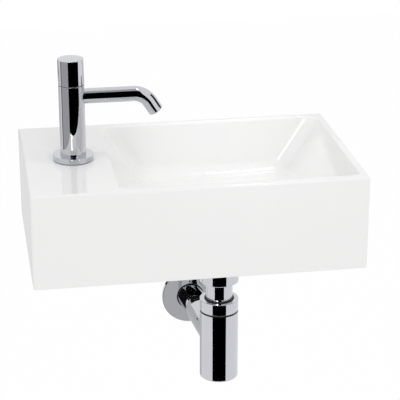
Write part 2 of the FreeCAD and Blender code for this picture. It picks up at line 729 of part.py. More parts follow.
def spindle_foot_top():
    """Height of the spindle foot's upper face above the ledge."""
    return spindle_foot_low() + SPINDLE_FOOT


def disc(low, angle):
    """Ceramic disc with two ports."""
    body = cylinder(HEADWORK_CHAMBER_RADIUS - TURNING_GAP, low, low + DISC_THICKNESS)
    port = cylinder(DISC_PORT_RADIUS, low - 1, low + DISC_THICKNESS + 1)
    port.translate(RIGHT * DISC_PORT_CENTRE)
    body = body.cut(around(port, 2))
    body.rotate(Vector(0, 0, 0), UP, angle)
    return on_ledge(body)


def headwork_fixed_disc():
    """Lower disc, which stays still."""
    return disc(disc_low(), 0)


def headwork_moving_disc():
    """Upper disc, closed a quarter turn away from the lower one."""
    return disc(disc_low() + DISC_THICKNESS + DISC_GAP, 90)


def headwork_spindle():
    """Spindle: cross foot on the moving disc, round shaft and a flat for the set screw."""
    low = spindle_foot_low()
    top = spindle_foot_top()
    foot = cylinder(HEADWORK_CHAMBER_RADIUS - TURNING_GAP, low, top)
    port = cylinder(DISC_PORT_RADIUS, low - 1, top - DISC_THICKNESS)
    port.translate(BACK * DISC_PORT_CENTRE)
    outlet = block(
        -DISC_PORT_RADIUS,
        DISC_PORT_RADIUS,
        DISC_PORT_CENTRE,
        HEADWORK_CHAMBER_RADIUS + 1,
        low - 1,
        top - DISC_THICKNESS,
    )
    foot = foot.cut(around(port.fuse(outlet), 2))
    shaft = cylinder(SPINDLE_RADIUS, top, SPINDLE_TOP)
    body = foot.fuse(shaft).removeSplitter()
    flat_y = SPINDLE_RADIUS - SPINDLE_FLAT
    flat = block(-SPINDLE_RADIUS, SPINDLE_RADIUS, flat_y, 2 * SPINDLE_RADIUS, KNOB_GRIP_LOW, SPINDLE_TOP + 1)
    return on_ledge(body.cut(flat))


def headwork_spindle_seal():
    """Ring seal in the headwork's groove, around the spindle."""
    inner = SPINDLE_RADIUS + TURNING_GAP
    outer = SPINDLE_RADIUS + SPINDLE_SEAL_WIDTH
    return on_ledge(ring(outer, inner, SPINDLE_SEAL_LOW, SPINDLE_SEAL_LOW + SPINDLE_SEAL_HEIGHT))


def handle():
    """Knob: skirt over the headwork, solid head on the spindle and a hole for the set screw."""
    body = eased(cylinder(TAP_RADIUS, KNOB_LOW, KNOB_TOP), KNOB_EDGE, KNOB_TOP, TAP_RADIUS)
    pocket = cylinder(TAP_RADIUS - KNOB_WALL, KNOB_LOW - 1, KNOB_GRIP_LOW)
    bore = cylinder(SPINDLE_RADIUS + FIT_GAP, KNOB_LOW, KNOB_GRIP_TOP)
    hole = rod(SET_SCREW_RADIUS + FIT_GAP, 0, TAP_RADIUS + 1)
    hole.translate(UP * SET_SCREW_HEIGHT)
    return on_ledge(body.cut([pocket, bore, hole]))


def handle_set_screw():
    """Set screw that locks the knob on the spindle's flat."""
    start = SPINDLE_RADIUS - SPINDLE_FLAT + FIT_GAP
    end = start + SET_SCREW_LENGTH
    key = hexagon(SET_SCREW_KEY, 0, SET_SCREW_KEY_DEPTH + 1)
    key.rotate(Vector(0, 0, 0), RIGHT, -90)
    key.translate(BACK * (end - SET_SCREW_KEY_DEPTH))
    body = rod(SET_SCREW_RADIUS, start, end).cut(key)
    body.translate(UP * SET_SCREW_HEIGHT)
    return on_ledge(body)


# Waste


def flange_low():
    """Height of the flange's underside from the floor's lowest point."""
    return WASTE_UPPER_SEAL - DRAIN_RECESS


def boss_foot():
    """Height of the drain boss's flat foot from the floor's lowest point."""
    return -DRAIN_BOSS_THICKNESS


def waste_upper_seal():
    """Seal under the waste's flange."""
    outer = WASTE_FLANGE_RADIUS - WASTE_EDGE
    return placed(ring(outer, DRAIN_HOLE_RADIUS + DRAIN_GAP, -DRAIN_RECESS, flange_low()), DRAIN_ORIGIN)


def waste_body():
    """Waste: flange with a seat for the grid, threaded tail and a bridge for the screw."""
    low = flange_low()
    flange = eased(cylinder(WASTE_FLANGE_RADIUS, low, GRID_TOP), WASTE_EDGE, GRID_TOP, WASTE_FLANGE_RADIUS)
    plain_low = boss_foot()
    neck = cylinder(WASTE_RADIUS, plain_low, low)
    thread = threaded(WASTE_RADIUS, WASTE_THREAD_DEPTH, WASTE_PITCH, WASTE_FOOT, plain_low)
    body = flange.fuse([neck, thread]).removeSplitter()
    bore = cylinder(WASTE_BORE_RADIUS, WASTE_FOOT - 1, GRID_TOP + 1)
    seat = cylinder(GRID_RADIUS + FIT_GAP, GRID_TOP - GRID_THICKNESS, GRID_TOP + 1)
    body = body.cut([bore, seat])

    high = -WASTE_BRIDGE_DROP
    base = high - WASTE_BRIDGE_HEIGHT
    half = WASTE_BRIDGE_WIDTH / 2
    reach = (WASTE_BORE_RADIUS + WASTE_RADIUS - WASTE_THREAD_DEPTH) / 2
    arm = block(0, reach, -half, half, base, high)
    hub = cylinder(WASTE_BRIDGE_HUB_RADIUS, base, high)
    bridge = hub.fuse(around(arm, WASTE_BRIDGE_ARMS))
    bridge = bridge.cut(cylinder(WASTE_SCREW_RADIUS + FIT_GAP, base - 1, high + 1))
    return placed(body.fuse(bridge), DRAIN_ORIGIN)


def waste_grid():
    """Grid plate with slots, flush with the flange."""
    low = GRID_TOP - GRID_THICKNESS
    plate = cylinder(GRID_RADIUS, low, GRID_TOP)
    half = GRID_SLOT_WIDTH / 2
    slot = block(GRID_SLOT_INNER, GRID_SLOT_OUTER, -half, half, low - 1, GRID_TOP + 1)
    for end in (GRID_SLOT_INNER, GRID_SLOT_OUTER):
        tip = cylinder(half, low - 1, GRID_TOP + 1)
        tip.translate(RIGHT * end)
        slot = slot.fuse(tip)
    hole = cylinder(WASTE_SCREW_RADIUS + WASHER_GAP, low - 1, GRID_TOP + 1)
    head = WASTE_SCREW_HEAD_RADIUS + FIT_GAP
    sink = cylinder(head, GRID_TOP - WASTE_SCREW_HEAD, GRID_TOP + 1)
    return placed(plate.cut(around(slot.removeSplitter(), GRID_SLOTS) + [hole, sink]), DRAIN_ORIGIN)


def waste_screw():
    """Screw that holds the grid down on the bridge."""
    foot = -WASTE_BRIDGE_DROP - WASTE_BRIDGE_HEIGHT
    under = GRID_TOP - WASTE_SCREW_HEAD
    head = cylinder(WASTE_SCREW_HEAD_RADIUS, under, GRID_TOP)
    half = WASTE_SCREW_SLOT / 2
    reach = WASTE_SCREW_HEAD_RADIUS + 1
    slot = block(-reach, reach, -half, half, GRID_TOP - WASTE_SCREW_HEAD / 2, GRID_TOP + 1)
    body = head.cut(slot).fuse(cylinder(WASTE_SCREW_RADIUS, foot, under))
    return placed(body.removeSplitter(), DRAIN_ORIGIN)


def waste_lower_seal():
    """Rubber seal between the drain boss and the backnut."""
    body = ring(WASTE_LOWER_SEAL_RADIUS, WASTE_RADIUS + FIT_GAP, boss_foot() - WASTE_LOWER_SEAL, boss_foot())
    return placed(body, DRAIN_ORIGIN)


def waste_backnut():
    """Backnut that clamps the waste."""
    high = boss_foot() - WASTE_LOWER_SEAL
    low = high - WASTE_BACKNUT_HEIGHT
    return placed(hex_nut(WASTE_BACKNUT_FLATS, WASTE_RADIUS + FIT_GAP, low, high), DRAIN_ORIGIN)


# Trap


def collar_low():
    """Height of the inlet pipe collar's underside from the basin's foot."""
    return -UNION_DROP + UNION_FLOOR


def collar_high():
    """Height of the inlet pipe collar's upper face from the basin's foot."""
    return collar_low() + PIPE_COLLAR


def waste_end():
    """Height of the waste's lower end from the basin's foot."""
    return FLOOR_Z + WASTE_FOOT - FOOT_Z


def trap_union_nut():
    """Round union nut: hangs the trap on the waste's thread."""
    low = -UNION_DROP
    body = cylinder(UNION_RADIUS, low, low + UNION_HEIGHT)
    body = eased(body, UNION_EDGE, low, UNION_RADIUS)
    hole = cylinder(PIPE_RADIUS + WASHER_GAP, low - 1, low + UNION_HEIGHT + 1)
    thread = cylinder(UNION_BORE_RADIUS, collar_low(), low + UNION_HEIGHT + 1)
    return placed(body.cut([hole, thread]), TRAP_ORIGIN)


def trap_union_seal():
    """Flat seal between the waste's end and the pipe's collar."""
    body = ring(PIPE_COLLAR_RADIUS, PIPE_RADIUS - PIPE_WALL, collar_high(), waste_end())
    return placed(body, TRAP_ORIGIN)


def trap_inlet_pipe():
    """Inlet pipe: collar in the union nut, lower end dipping into the bottle."""
    foot = -BOTTLE_DROP + BOTTLE_FLOOR + PIPE_END_GAP
    collar = cylinder(PIPE_COLLAR_RADIUS, collar_low(), collar_high())
    body = cylinder(PIPE_RADIUS, foot, collar_high()).fuse(collar).removeSplitter()
    body = body.cut(cylinder(PIPE_RADIUS - PIPE_WALL, foot - 1, collar_high() + 1))
    return placed(body, TRAP_ORIGIN)


def trap_cap():
    """Ring nut on the bottle, with a skirt screwed into the bottle's neck."""
    low = -SEAM_DROP + SEAM / 2
    body = cylinder(BOTTLE_RADIUS, low, -CAP_DROP)
    body = eased(body, CAP_EDGE, -CAP_DROP, BOTTLE_RADIUS)
    skirt_radius = BOTTLE_BORE_RADIUS - FIT_GAP
    body = body.fuse(cylinder(skirt_radius, low - CAP_SKIRT, low)).removeSplitter()
    bore = cylinder(skirt_radius - CAP_SKIRT_WALL, low - CAP_SKIRT - 1, -CAP_DROP - CAP_FLANGE)
    mouth = cylinder(PIPE_RADIUS + CAP_SEAL_LIP + 2 * FIT_GAP, low, -CAP_DROP + 1)
    return placed(body.cut([bore, mouth]), TRAP_ORIGIN)


def trap_cap_seal():
    """Seal between the cap and the inlet pipe, its lip standing out of the cap around the pipe."""
    outer = BOTTLE_BORE_RADIUS - CAP_SKIRT_WALL - 2 * FIT_GAP
    inner = PIPE_RADIUS + FIT_GAP
    high = -CAP_DROP - CAP_FLANGE
    body = ring(outer, inner, high - CAP_SEAL_HEIGHT, high)
    lip = ring(inner + CAP_SEAL_LIP, inner, high, -CAP_DROP + CAP_SEAL_PROUD)
    return placed(body.fuse(lip).removeSplitter(), TRAP_ORIGIN)


def trap_neck_ring():
    """Seal in the seam between the cap and the bottle."""
    outer = BOTTLE_RADIUS - SEAM_RING_INSET
    low = -SEAM_DROP - SEAM / 2
    return placed(ring(outer, BOTTLE_BORE_RADIUS, low, low + SEAM), TRAP_ORIGIN)


def trap_bottle():
    """Bottle with its tapered outlet branch."""
    low = -BOTTLE_DROP
    high = -SEAM_DROP - SEAM / 2
    outside = eased(cylinder(BOTTLE_RADIUS, low, high), BOTTLE_EDGE, low, BOTTLE_RADIUS)
    outside = placed(outside, TRAP_ORIGIN)
    inside = placed(cylinder(BOTTLE_BORE_RADIUS, low + BOTTLE_FLOOR, high + 1), TRAP_ORIGIN)
    branch = Part.makeCone(
        BRANCH_ROOT_RADIUS, BRANCH_MOUTH_RADIUS, BRANCH_LENGTH, Vector(0, 0, 0), BACK
    )
    mouth = [edge for edge in branch.Edges if abs(edge.CenterOfMass.y - BRANCH_LENGTH) < 1e-6]
    branch = branch.makeFillet(BRANCH_EDGE, mouth)
    seal_end = BRANCH_LENGTH - OUTLET_SEAL_INSET
    groove = rod(BRANCH_BORE_RADIUS + OUTLET_SEAL_DEPTH, seal_end - OUTLET_SEAL_LENGTH, seal_end)
    bore = rod(BRANCH_BORE_RADIUS, 0, BRANCH_LENGTH + 1)
    body = outside.fuse(along_outlet(branch))
    root = [edge for edge in body.Edges if not isinstance(edge.Curve, (Part.Circle, Part.Line))]
    body = body.makeFillet(BRANCH_FILLET, root)
    return body.cut([inside, along_outlet(bore), along_outlet(groove)])


def trap_outlet_seal():
    """Ring seal in the mouth of the branch."""
    end = BRANCH_LENGTH - OUTLET_SEAL_INSET
    outer = BRANCH_BORE_RADIUS + OUTLET_SEAL_DEPTH
    return along_outlet(tube(outer, PIPE_RADIUS + FIT_GAP, end - OUTLET_SEAL_LENGTH, end))


def wall_pipe():
    """Waste pipe from the branch into the wall, with a depth mark turned in it."""
    start = BRANCH_LENGTH - WALL_PIPE_OVERLAP
    end = OUTLET_TO_WALL + WALL_PIPE_PAST_WALL
    mark = OUTLET_TO_WALL + PIPE_MARK_AT
    body = tube(PIPE_RADIUS, PIPE_RADIUS - PIPE_WALL, start, end)
    groove = tube(PIPE_RADIUS + 1, PIPE_RADIUS - PIPE_MARK_DEPTH, mark, mark + PIPE_MARK_WIDTH)
    return along_outlet(body.cut(groove))


# Rosette


def on_wall(shape):
    """A shape built on the local Y axis, placed where the wall pipe enters the wall."""
    return placed(shape, Vector(ROSETTE_X, 0, OUTLET_ORIGIN.z))


def wall_rosette():
    """Cover plate on the wall: a shallow cup with a hole for the pipe."""
    body = rod(ROSETTE_RADIUS, -ROSETTE_DEPTH, 0)
    face = [edge for edge in body.Edges if abs(edge.CenterOfMass.y + ROSETTE_DEPTH) < 1e-6]
    body = body.makeFillet(ROSETTE_EDGE, face)
    hollow = rod(ROSETTE_RADIUS - ROSETTE_WALL, -ROSETTE_DEPTH + ROSETTE_WALL, 1)
    hole = rod(PIPE_RADIUS + ROSETTE_HOLE_GAP, -ROSETTE_DEPTH - 1, 1)
    return on_wall(body.cut([hollow, hole]))


def rosette_grip_ring():
    """Rubber ring inside the rosette, gripping the pipe."""
    low = -ROSETTE_DEPTH + ROSETTE_WALL
    body = on_wall(rod(GRIP_RING_RADIUS, low, low + GRIP_RING_LENGTH))
    return body.cut(along_outlet(rod(PIPE_RADIUS + FIT_GAP, 0, OUTLET_TO_WALL + GRIP_RING_LENGTH)))


PIECES = (
    basin,
    wall_bolts,
    wall_bolt_bushes,
    wall_bolt_washers,
    wall_bolt_nuts,
    tap_base_ring,
    tap_base_seal,
    tap_body,
    tap_tail,
    tap_rubber_washer,
    tap_steel_washer,
    tap_backnut,
    spout,
    aerator_housing,
    aerator_screen,
    headwork_body,
    headwork_seat,
    headwork_fixed_disc,
    headwork_moving_disc,
    headwork_spindle,
    headwork_spindle_seal,
    handle,
    handle_set_screw,
    waste_body,
    waste_grid,
    waste_screw,
    waste_upper_seal,
    waste_lower_seal,
    waste_backnut,
    trap_union_nut,
    trap_union_seal,
    trap_inlet_pipe,
    trap_cap,
    trap_cap_seal,
    trap_neck_ring,
    trap_bottle,
    trap_outlet_seal,
    wall_pipe,
    wall_rosette,
    rosette_grip_ring,
)


def main():
    """Build every piece and write it under its own name."""
    os.makedirs("parts", exist_ok=True)
    for piece in PIECES:
        shape = piece()
        shape.exportStep(f"parts/{piece.__name__}.step")
        print(f"{piece.__name__}: {len(shape.Solids)} solid(s), {shape.Volume:.0f} mm3, valid {shape.isValid()}")


if __name__ == "__main__":
    main()
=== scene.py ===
"""Wall hung hand basin with a pillar tap and a bottle trap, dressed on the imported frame.

Sizes in the dataclasses are in millimetres and meshes are in metres, in the frame's own axes: +X to the
right, -Y out of the wall, +Z up, with the origin on the wall plane midway between the wall bolts.
"""

import json
import logging
import math
from dataclasses import dataclass, field
from enum import Enum
from typing import Any, Mapping, Optional, Sequence

import bpy
from mathutils import Matrix, Vector

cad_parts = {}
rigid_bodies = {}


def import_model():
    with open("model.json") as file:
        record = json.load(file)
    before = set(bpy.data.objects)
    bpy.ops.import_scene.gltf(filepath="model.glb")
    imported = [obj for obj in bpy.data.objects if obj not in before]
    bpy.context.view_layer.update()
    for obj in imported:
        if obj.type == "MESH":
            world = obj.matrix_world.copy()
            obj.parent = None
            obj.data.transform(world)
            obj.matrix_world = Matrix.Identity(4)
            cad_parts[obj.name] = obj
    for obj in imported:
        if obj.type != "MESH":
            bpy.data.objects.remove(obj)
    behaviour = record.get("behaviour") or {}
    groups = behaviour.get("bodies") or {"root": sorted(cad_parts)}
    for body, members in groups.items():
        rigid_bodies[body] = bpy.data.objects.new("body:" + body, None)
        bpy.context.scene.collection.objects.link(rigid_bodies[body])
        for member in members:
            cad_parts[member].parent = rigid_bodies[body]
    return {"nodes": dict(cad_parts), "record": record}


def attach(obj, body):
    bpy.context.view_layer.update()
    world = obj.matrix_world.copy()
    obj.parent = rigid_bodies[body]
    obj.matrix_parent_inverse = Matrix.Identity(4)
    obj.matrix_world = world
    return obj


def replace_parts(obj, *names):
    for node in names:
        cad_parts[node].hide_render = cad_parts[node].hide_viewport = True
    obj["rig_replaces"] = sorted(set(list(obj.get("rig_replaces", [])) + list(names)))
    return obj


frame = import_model()

LOG = logging.getLogger("hand_basin")
MM = 0.001
STATIC_BODY = "basin"
TURNING_BODY = "handle"
WHITE = (1, 1, 1, 1)
NOISE_BAND = (0.3, 0.7)  # a noise's values mostly lie between these

SHARP_ANGLE = 32.0  # degrees, past which an edge stays sharp
WELD_GAP = 0.001  # mm, under which a solid's loose corners are one
MERGE_GAP = 0.002  # mm, under which a new mesh's points are one
ARC_STEPS = 6  # segments in a rounded corner
TURNED_SIDES = 128  # points round a turned piece
FULL_SPREAD = 180.0  # degrees, of a plain softbox


class Slot(Enum):
    """Material slots of the record."""

    GLAZE = "glazed_sanitary_ceramic"
    CHROME = "chrome_plate"
    RUBBER = "black_rubber"
    BRASS = "brass"
    STEEL = "stainless_steel"
    PLASTIC = "white_plastic"
    DISC = "technical_ceramic"


class Along(Enum):
    """Way that a turned piece's axis points, as degrees of tilt about X and then of turn about Z."""

    UP = (0.0, 0.0)
    WALL = (-90.0, 0.0)
    OUTLET = (-90.0, 9.0)  # towards the wall, and skewed in plan as the waste pipe is


# Finishes


def linear(code: str) -> tuple[float, float, float, float]:
    """Turn an sRGB hex code into a linear colour.

    Args:
        code: Six hex digits after a hash sign.

    Returns:
        Linear red, green, blue and an alpha of 1.
    """
    parts = [int(code[k : k + 2], 16) / 255 for k in (1, 3, 5)]
    red, green, blue = (c / 12.92 if c <= 0.04045 else ((c + 0.055) / 1.055) ** 2.4 for c in parts)
    return red, green, blue, 1.0


def add_node(
    tree: bpy.types.NodeTree, kind: str, inputs: Optional[Mapping[Any, Any]] = None, **settings: Any
) -> bpy.types.Node:
    """Add a node to a tree and set it up.

    Args:
        tree: Node tree that gets the node.
        kind: Node type, without the ShaderNode prefix.
        inputs: Values or sockets for the node's inputs, by name or number.
        **settings: Properties of the node itself.

    Returns:
        The new node.
    """
    node = tree.nodes.new("ShaderNode" + kind)
    for name, value in settings.items():
        setattr(node, name, value)
    for name, value in (inputs or {}).items():
        if isinstance(value, bpy.types.NodeSocket):
            tree.links.new(value, node.inputs[name])
        else:
            node.inputs[name].default_value = value
    return node


def blank_material(name: str) -> bpy.types.Material:
    """Make a material with an empty node tree.

    Args:
        name: Name of the material.

    Returns:
        The new material.
    """
    material = bpy.data.materials.new(name)
    material.use_nodes = True
    material.node_tree.nodes.clear()
    return material


@dataclass(frozen=True)
class Finish:
    """A surface: two close colours that drift into each other, a roughness range and a fine relief."""

    name: str
    slot: Slot
    colour: str
    other: str
    drift: float  # mm across one patch of the colour drift
    rough: tuple[float, float]
    rough_patch: float  # mm across one patch of the roughness
    relief: float  # mm across one hump of the relief
    height: float  # mm
    metal: float = 0.0
    ior: float = 1.5
    stretch: tuple[float, float, float] = (1.0, 1.0, 1.0)  # how much finer the grain is along each axis

    def build(self) -> bpy.types.Material:
        """Make the material.

        Returns:
            A material whose patterns follow the object's own coordinates in real millimetres.
        """
        material = blank_material(self.name)
        tree = material.node_tree
        place = add_node(tree, "TexCoord").outputs["Object"]
        grain = add_node(tree, "Mapping", {"Vector": place, "Scale": self.stretch}).outputs["Vector"]
        drift = add_node(
            tree,
            "TexNoise",
            {"Vector": place, "Scale": 1000 / self.drift, "Detail": 3.0, "Roughness": 0.5},
        )
        tint = add_node(
            tree,
            "MixRGB",
            {"Fac": drift.outputs["Fac"], "Color1": linear(self.colour), "Color2": linear(self.other)},
        )
        wear = add_node(
            tree,
            "TexNoise",
            {"Vector": grain, "Scale": 1000 / self.rough_patch, "Detail": 5.0, "Roughness": 0.6},
        )
        rough = add_node(
            tree,
            "MapRange",
            {
                "Value": wear.outputs["Fac"],
                "From Min": NOISE_BAND[0],
                "From Max": NOISE_BAND[1],
                "To Min": self.rough[0],
                "To Max": self.rough[1],
            },
        )
        hump = add_node(
            tree,
            "TexNoise",
            {"Vector": grain, "Scale": 1000 / self.relief, "Detail": 2.0, "Roughness": 0.4},
        )
        bump = add_node(
            tree,
            "Bump",
            {"Height": hump.outputs["Fac"], "Distance": self.height * MM, "Strength": 1.0},
        )
        shader = add_node(
            tree,
            "BsdfPrincipled",
            {
                "Base Color": tint.outputs["Color"],
                "Roughness": rough.outputs["Result"],
                "Metallic": self.metal,
                "Normal": bump.outputs["Normal"],
            },
        )
        if not self.metal:
            shader.inputs["IOR"].default_value = self.ior
        add_node(tree, "OutputMaterial", {"Surface": shader.outputs["BSDF"]})
        return material


# Glassy white glaze: the eye gets clean gloss with the faint orange peel of a fired coat.
GLAZE = Finish(
    name="Glazed vitreous china",
    slot=Slot.GLAZE,
    colour="#F4F4F3",
    other="#F1F1F1",
    drift=60.0,
    rough=(0.03, 0.055),
    rough_patch=18.0,
    relief=7.0,
    height=0.004,
    ior=1.52,
)
# Bright chromium over polished brass: a cool grey mirror, a little wavy from the polishing below.
CHROME = Finish(
    name="Bright chromium plate",
    slot=Slot.CHROME,
    colour="#CBCBD0",
    other="#C7C8CE",
    drift=25.0,
    rough=(0.02, 0.045),
    rough_patch=6.0,
    relief=9.0,
    height=0.0006,
    metal=1.0,
)
# Moulded nitrile rubber: deep matt grey-black. The mould's texture is drawn coarser than the real one.
RUBBER = Finish(
    name="Moulded black rubber",
    slot=Slot.RUBBER,
    colour="#0E0E0F",
    other="#151516",
    drift=5.0,
    rough=(0.38, 0.5),
    rough_patch=1.5,
    relief=0.8,
    height=0.004,
)
# Turned free-cutting brass: warm yellow. Its lathe lines are drawn coarser than the real ones.
BRASS = Finish(
    name="Turned brass",
    slot=Slot.BRASS,
    colour="#C9A25A",
    other="#BC9450",
    drift=12.0,
    rough=(0.22, 0.36),
    rough_patch=2.0,
    relief=0.4,
    height=0.006,
    metal=1.0,
    stretch=(1.0, 1.0, 6.0),
)
# Rolled stainless steel: neutral grey. Its short rolling lines are drawn coarser than the real ones.
STEEL = Finish(
    name="Stainless steel",
    slot=Slot.STEEL,
    colour="#B3B3B1",
    other="#A8A8A7",
    drift=9.0,
    rough=(0.26, 0.4),
    rough_patch=2.0,
    relief=0.5,
    height=0.005,
    metal=1.0,
    stretch=(1.0, 5.0, 1.0),
)
# Injection-moulded white nylon: slightly creamy and soft.
PLASTIC = Finish(
    name="Moulded white nylon",
    slot=Slot.PLASTIC,
    colour="#E4E3DE",
    other="#DCDBD5",
    drift=8.0,
    rough=(0.38, 0.5),
    rough_patch=2.5,
    relief=0.8,
    height=0.012,
    ior=1.53,
)
# Lapped alumina: off-white, dense and satin.
DISC = Finish(
    name="Lapped alumina",
    slot=Slot.DISC,
    colour="#E9E4D8",
    other="#E2DCCF",
    drift=6.0,
    rough=(0.2, 0.3),
    rough_patch=2.0,
    relief=0.5,
    height=0.003,
    ior=1.76,
)

FINISHES = (GLAZE, CHROME, RUBBER, BRASS, STEEL, PLASTIC, DISC)


class Paintbox:
    """The finished materials, one for each slot of the record."""

    def __init__(self) -> None:
        """Build every finish once."""
        self.by_slot = {finish.slot: finish.build() for finish in FINISHES}

    def coat(self, piece: bpy.types.Object, slot: Slot) -> None:
        """Give a piece one finish all over and name its slot.

        Args:
            piece: Mesh object.
            slot: Slot that the finish stands for.
        """
        piece.data.materials.clear()
        piece.data.materials.append(self.by_slot[slot])
        for face in piece.data.polygons:
            face.material_index = 0

    def dress_node(self, name: str, slot: Slot) -> None:
        """Give a carried-over CAD node a finish and smooth its shading without touching its vertices.

        Args:
            name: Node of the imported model.
            slot: Slot that the finish stands for.
        """
        node = frame["nodes"][name]
        self.coat(node, slot)
        node.data.shade_smooth()
        node.modifiers.new("Weld", "WELD").merge_threshold = WELD_GAP * MM
        split = node.modifiers.new("Split", "EDGE_SPLIT")
        split.split_angle = math.radians(SHARP_ANGLE)
        node.modifiers.new("Normals", "WEIGHTED_NORMAL").keep_sharp = True
        LOG.info("%s keeps its solid, in %s", name, slot.value)


# Modelling


@dataclass(frozen=True)
class Corner:
    """A corner of a turned profile: radius, height and how far it is rounded, in mm."""

    radius: float
    height: float
    ease: float = 0.0


def rounded(corners: Sequence[Corner], closed: bool) -> list[tuple[float, float]]:
    """Replace the eased corners of a profile by arcs.

    Args:
        corners: Profile in order.
        closed: Whether the last corner joins the first.

    Returns:
        Radius and height of every point of the profile.
    """
    points = []
    count = len(corners)
    for k, corner in enumerate(corners):
        here = Vector((corner.radius, corner.height))
        at_end = not closed and k in (0, count - 1)
        if corner.ease == 0 or at_end:
            points.append((here.x, here.y))
            continue
        before = corners[k - 1]
        after = corners[(k + 1) % count]
        back = (Vector((before.radius, before.height)) - here).normalized()
        ahead = (Vector((after.radius, after.height)) - here).normalized()
        half = back.angle(ahead) / 2
        start = here + back * corner.ease / math.tan(half)
        centre = here + (back + ahead).normalized() * corner.ease / math.sin(half)
        spoke = start - centre
        end = here + ahead * corner.ease / math.tan(half) - centre
        sweep = spoke.angle_signed(end)
        for step in range(ARC_STEPS + 1):
            turn = Matrix.Rotation(-sweep * step / ARC_STEPS, 2)
            point = centre + turn @ spoke
            points.append((point.x, point.y))
    return points


def clear_selection() -> None:
    """Leave edit mode and deselect everything."""
    if bpy.context.object and bpy.context.object.mode != "OBJECT":
        bpy.ops.object.mode_set(mode="OBJECT")
    bpy.ops.object.select_all(action="DESELECT")


def take(piece: bpy.types.Object) -> None:
    """Make a piece the only selected object and the active one.

    Args:
        piece: Mesh object.
    """
    clear_selection()
    piece.select_set(True)
    bpy.context.view_layer.objects.active = piece


def settle(piece: bpy.types.Object, angle: float = SHARP_ANGLE) -> bpy.types.Object:
    """Close a mesh, point its faces outwards and give it clean normals.

    Args:
        piece: Mesh object.
        angle: Edges sharper than this, in degrees, stay sharp.

    Returns:
        The same object.
    """
    take(piece)
    bpy.ops.object.mode_set(mode="EDIT")
    bpy.ops.mesh.select_all(action="SELECT")
    bpy.ops.mesh.remove_doubles(threshold=MERGE_GAP * MM)
    bpy.ops.mesh.normals_make_consistent(inside=False)
    bpy.ops.object.mode_set(mode="OBJECT")
    bpy.ops.object.shade_smooth_by_angle(angle=math.radians(angle))
    weighted = piece.modifiers.new("Normals", "WEIGHTED_NORMAL")
    weighted.keep_sharp = True
    bpy.ops.object.modifier_apply(modifier=weighted.name)
    return piece


def put(piece: bpy.types.Object, origin: Vector, along: Along) -> bpy.types.Object:
    """Turn and move a piece, and put its place into its mesh.

    Args:
        piece: Mesh object built on the local Z axis, in metres.
        origin: Where its local origin lands, in mm.
        along: Axis that its local Z axis lands on.

    Returns:
        The same object, at the origin.
    """
    take(piece)
    tilt, skew = (math.radians(angle) for angle in along.value)
    turn = Matrix.Rotation(skew, 4, "Z") @ Matrix.Rotation(tilt, 4, "X")
    piece.matrix_world = Matrix.Translation(origin * MM) @ turn @ piece.matrix_world
    bpy.ops.object.transform_apply(location=True, rotation=True, scale=True)
    return piece


def turned(name: str, corners: Sequence[Corner], solid: bool = False) -> bpy.types.Object:
    """Model a turned piece: a circle, extruded and resized from ring to ring.

    Args:
        name: Name of the piece.
        corners: Profile. A solid piece's profile runs from one flat end to the other, and a hollow
            piece's goes all the way round its wall.
        solid: Whether both ends are closed by a flat face.

    Returns:
        The piece on the local Z axis.
    """
    rings = rounded(corners, not solid)
    first = rings[0]
    clear_selection()
    bpy.ops.mesh.primitive_circle_add(
        vertices=TURNED_SIDES,
        radius=first[0] * MM,
        fill_type="NGON" if solid else "NOTHING",
        location=(0, 0, first[1] * MM),
    )
    piece = bpy.context.object
    piece.name = piece.data.name = name
    bpy.ops.object.mode_set(mode="EDIT")
    bpy.ops.mesh.select_all(action="SELECT")
    others = rings[1:] if solid else rings[1:] + rings[:1]
    now = first
    for ring in others:
        lift = (0, 0, (ring[1] - now[1]) * MM)
        bpy.ops.mesh.extrude_region_move(TRANSFORM_OT_translate={"value": lift})
        scale = ring[0] / now[0]
        if abs(scale - 1) > 1e-9:
            bpy.ops.transform.resize(value=(scale, scale, 1), center_override=(0, 0, 0))
        now = ring
    bpy.ops.object.mode_set(mode="OBJECT")
    bpy.ops.object.transform_apply(location=True, rotation=True, scale=True)
    return settle(piece)


def polished_copy(node: str, name: str, angle: float = SHARP_ANGLE) -> bpy.types.Object:
    """Copy a CAD node's mesh, merge its loose triangles and smooth it.

    Args:
        node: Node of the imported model.
        name: Name of the copy.
        angle: Edges sharper than this, in degrees, stay sharp.

    Returns:
        The merged copy.
    """
    mesh = frame["nodes"][node].data.copy()
    mesh.name = name
    piece = bpy.data.objects.new(name, mesh)
    bpy.context.scene.collection.objects.link(piece)
    return settle(piece, angle)


@dataclass
class SubAssembly:
    """A group of pieces that is built and dressed together."""

    paint: Paintbox

    def fit(
        self, piece: bpy.types.Object, slot: Slot, node: str, body: str = STATIC_BODY
    ) -> None:
        """Coat a piece, let it ride on a body and let it stand for a CAD node.

        Args:
            piece: Finished mesh object.
            slot: Finish of the piece.
            node: CAD node that it replaces.
            body: Body that it moves with.
        """
        self.paint.coat(piece, slot)
        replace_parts(piece, node)
        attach(piece, body)
        LOG.info("%s: %d faces, for %s", piece.name, len(piece.data.polygons), node)


# Basin


@dataclass
class BasinBody(SubAssembly):
    """The glazed ceramic body with its deck, bowl and open underside."""

    sharp_angle: float = 28.0

    def build(self) -> None:
        """Merge the solid's facets into one smooth glazed surface."""
        self.fit(polished_copy("basin", "basin_glazed", self.sharp_angle), Slot.GLAZE, "basin")


# Tap


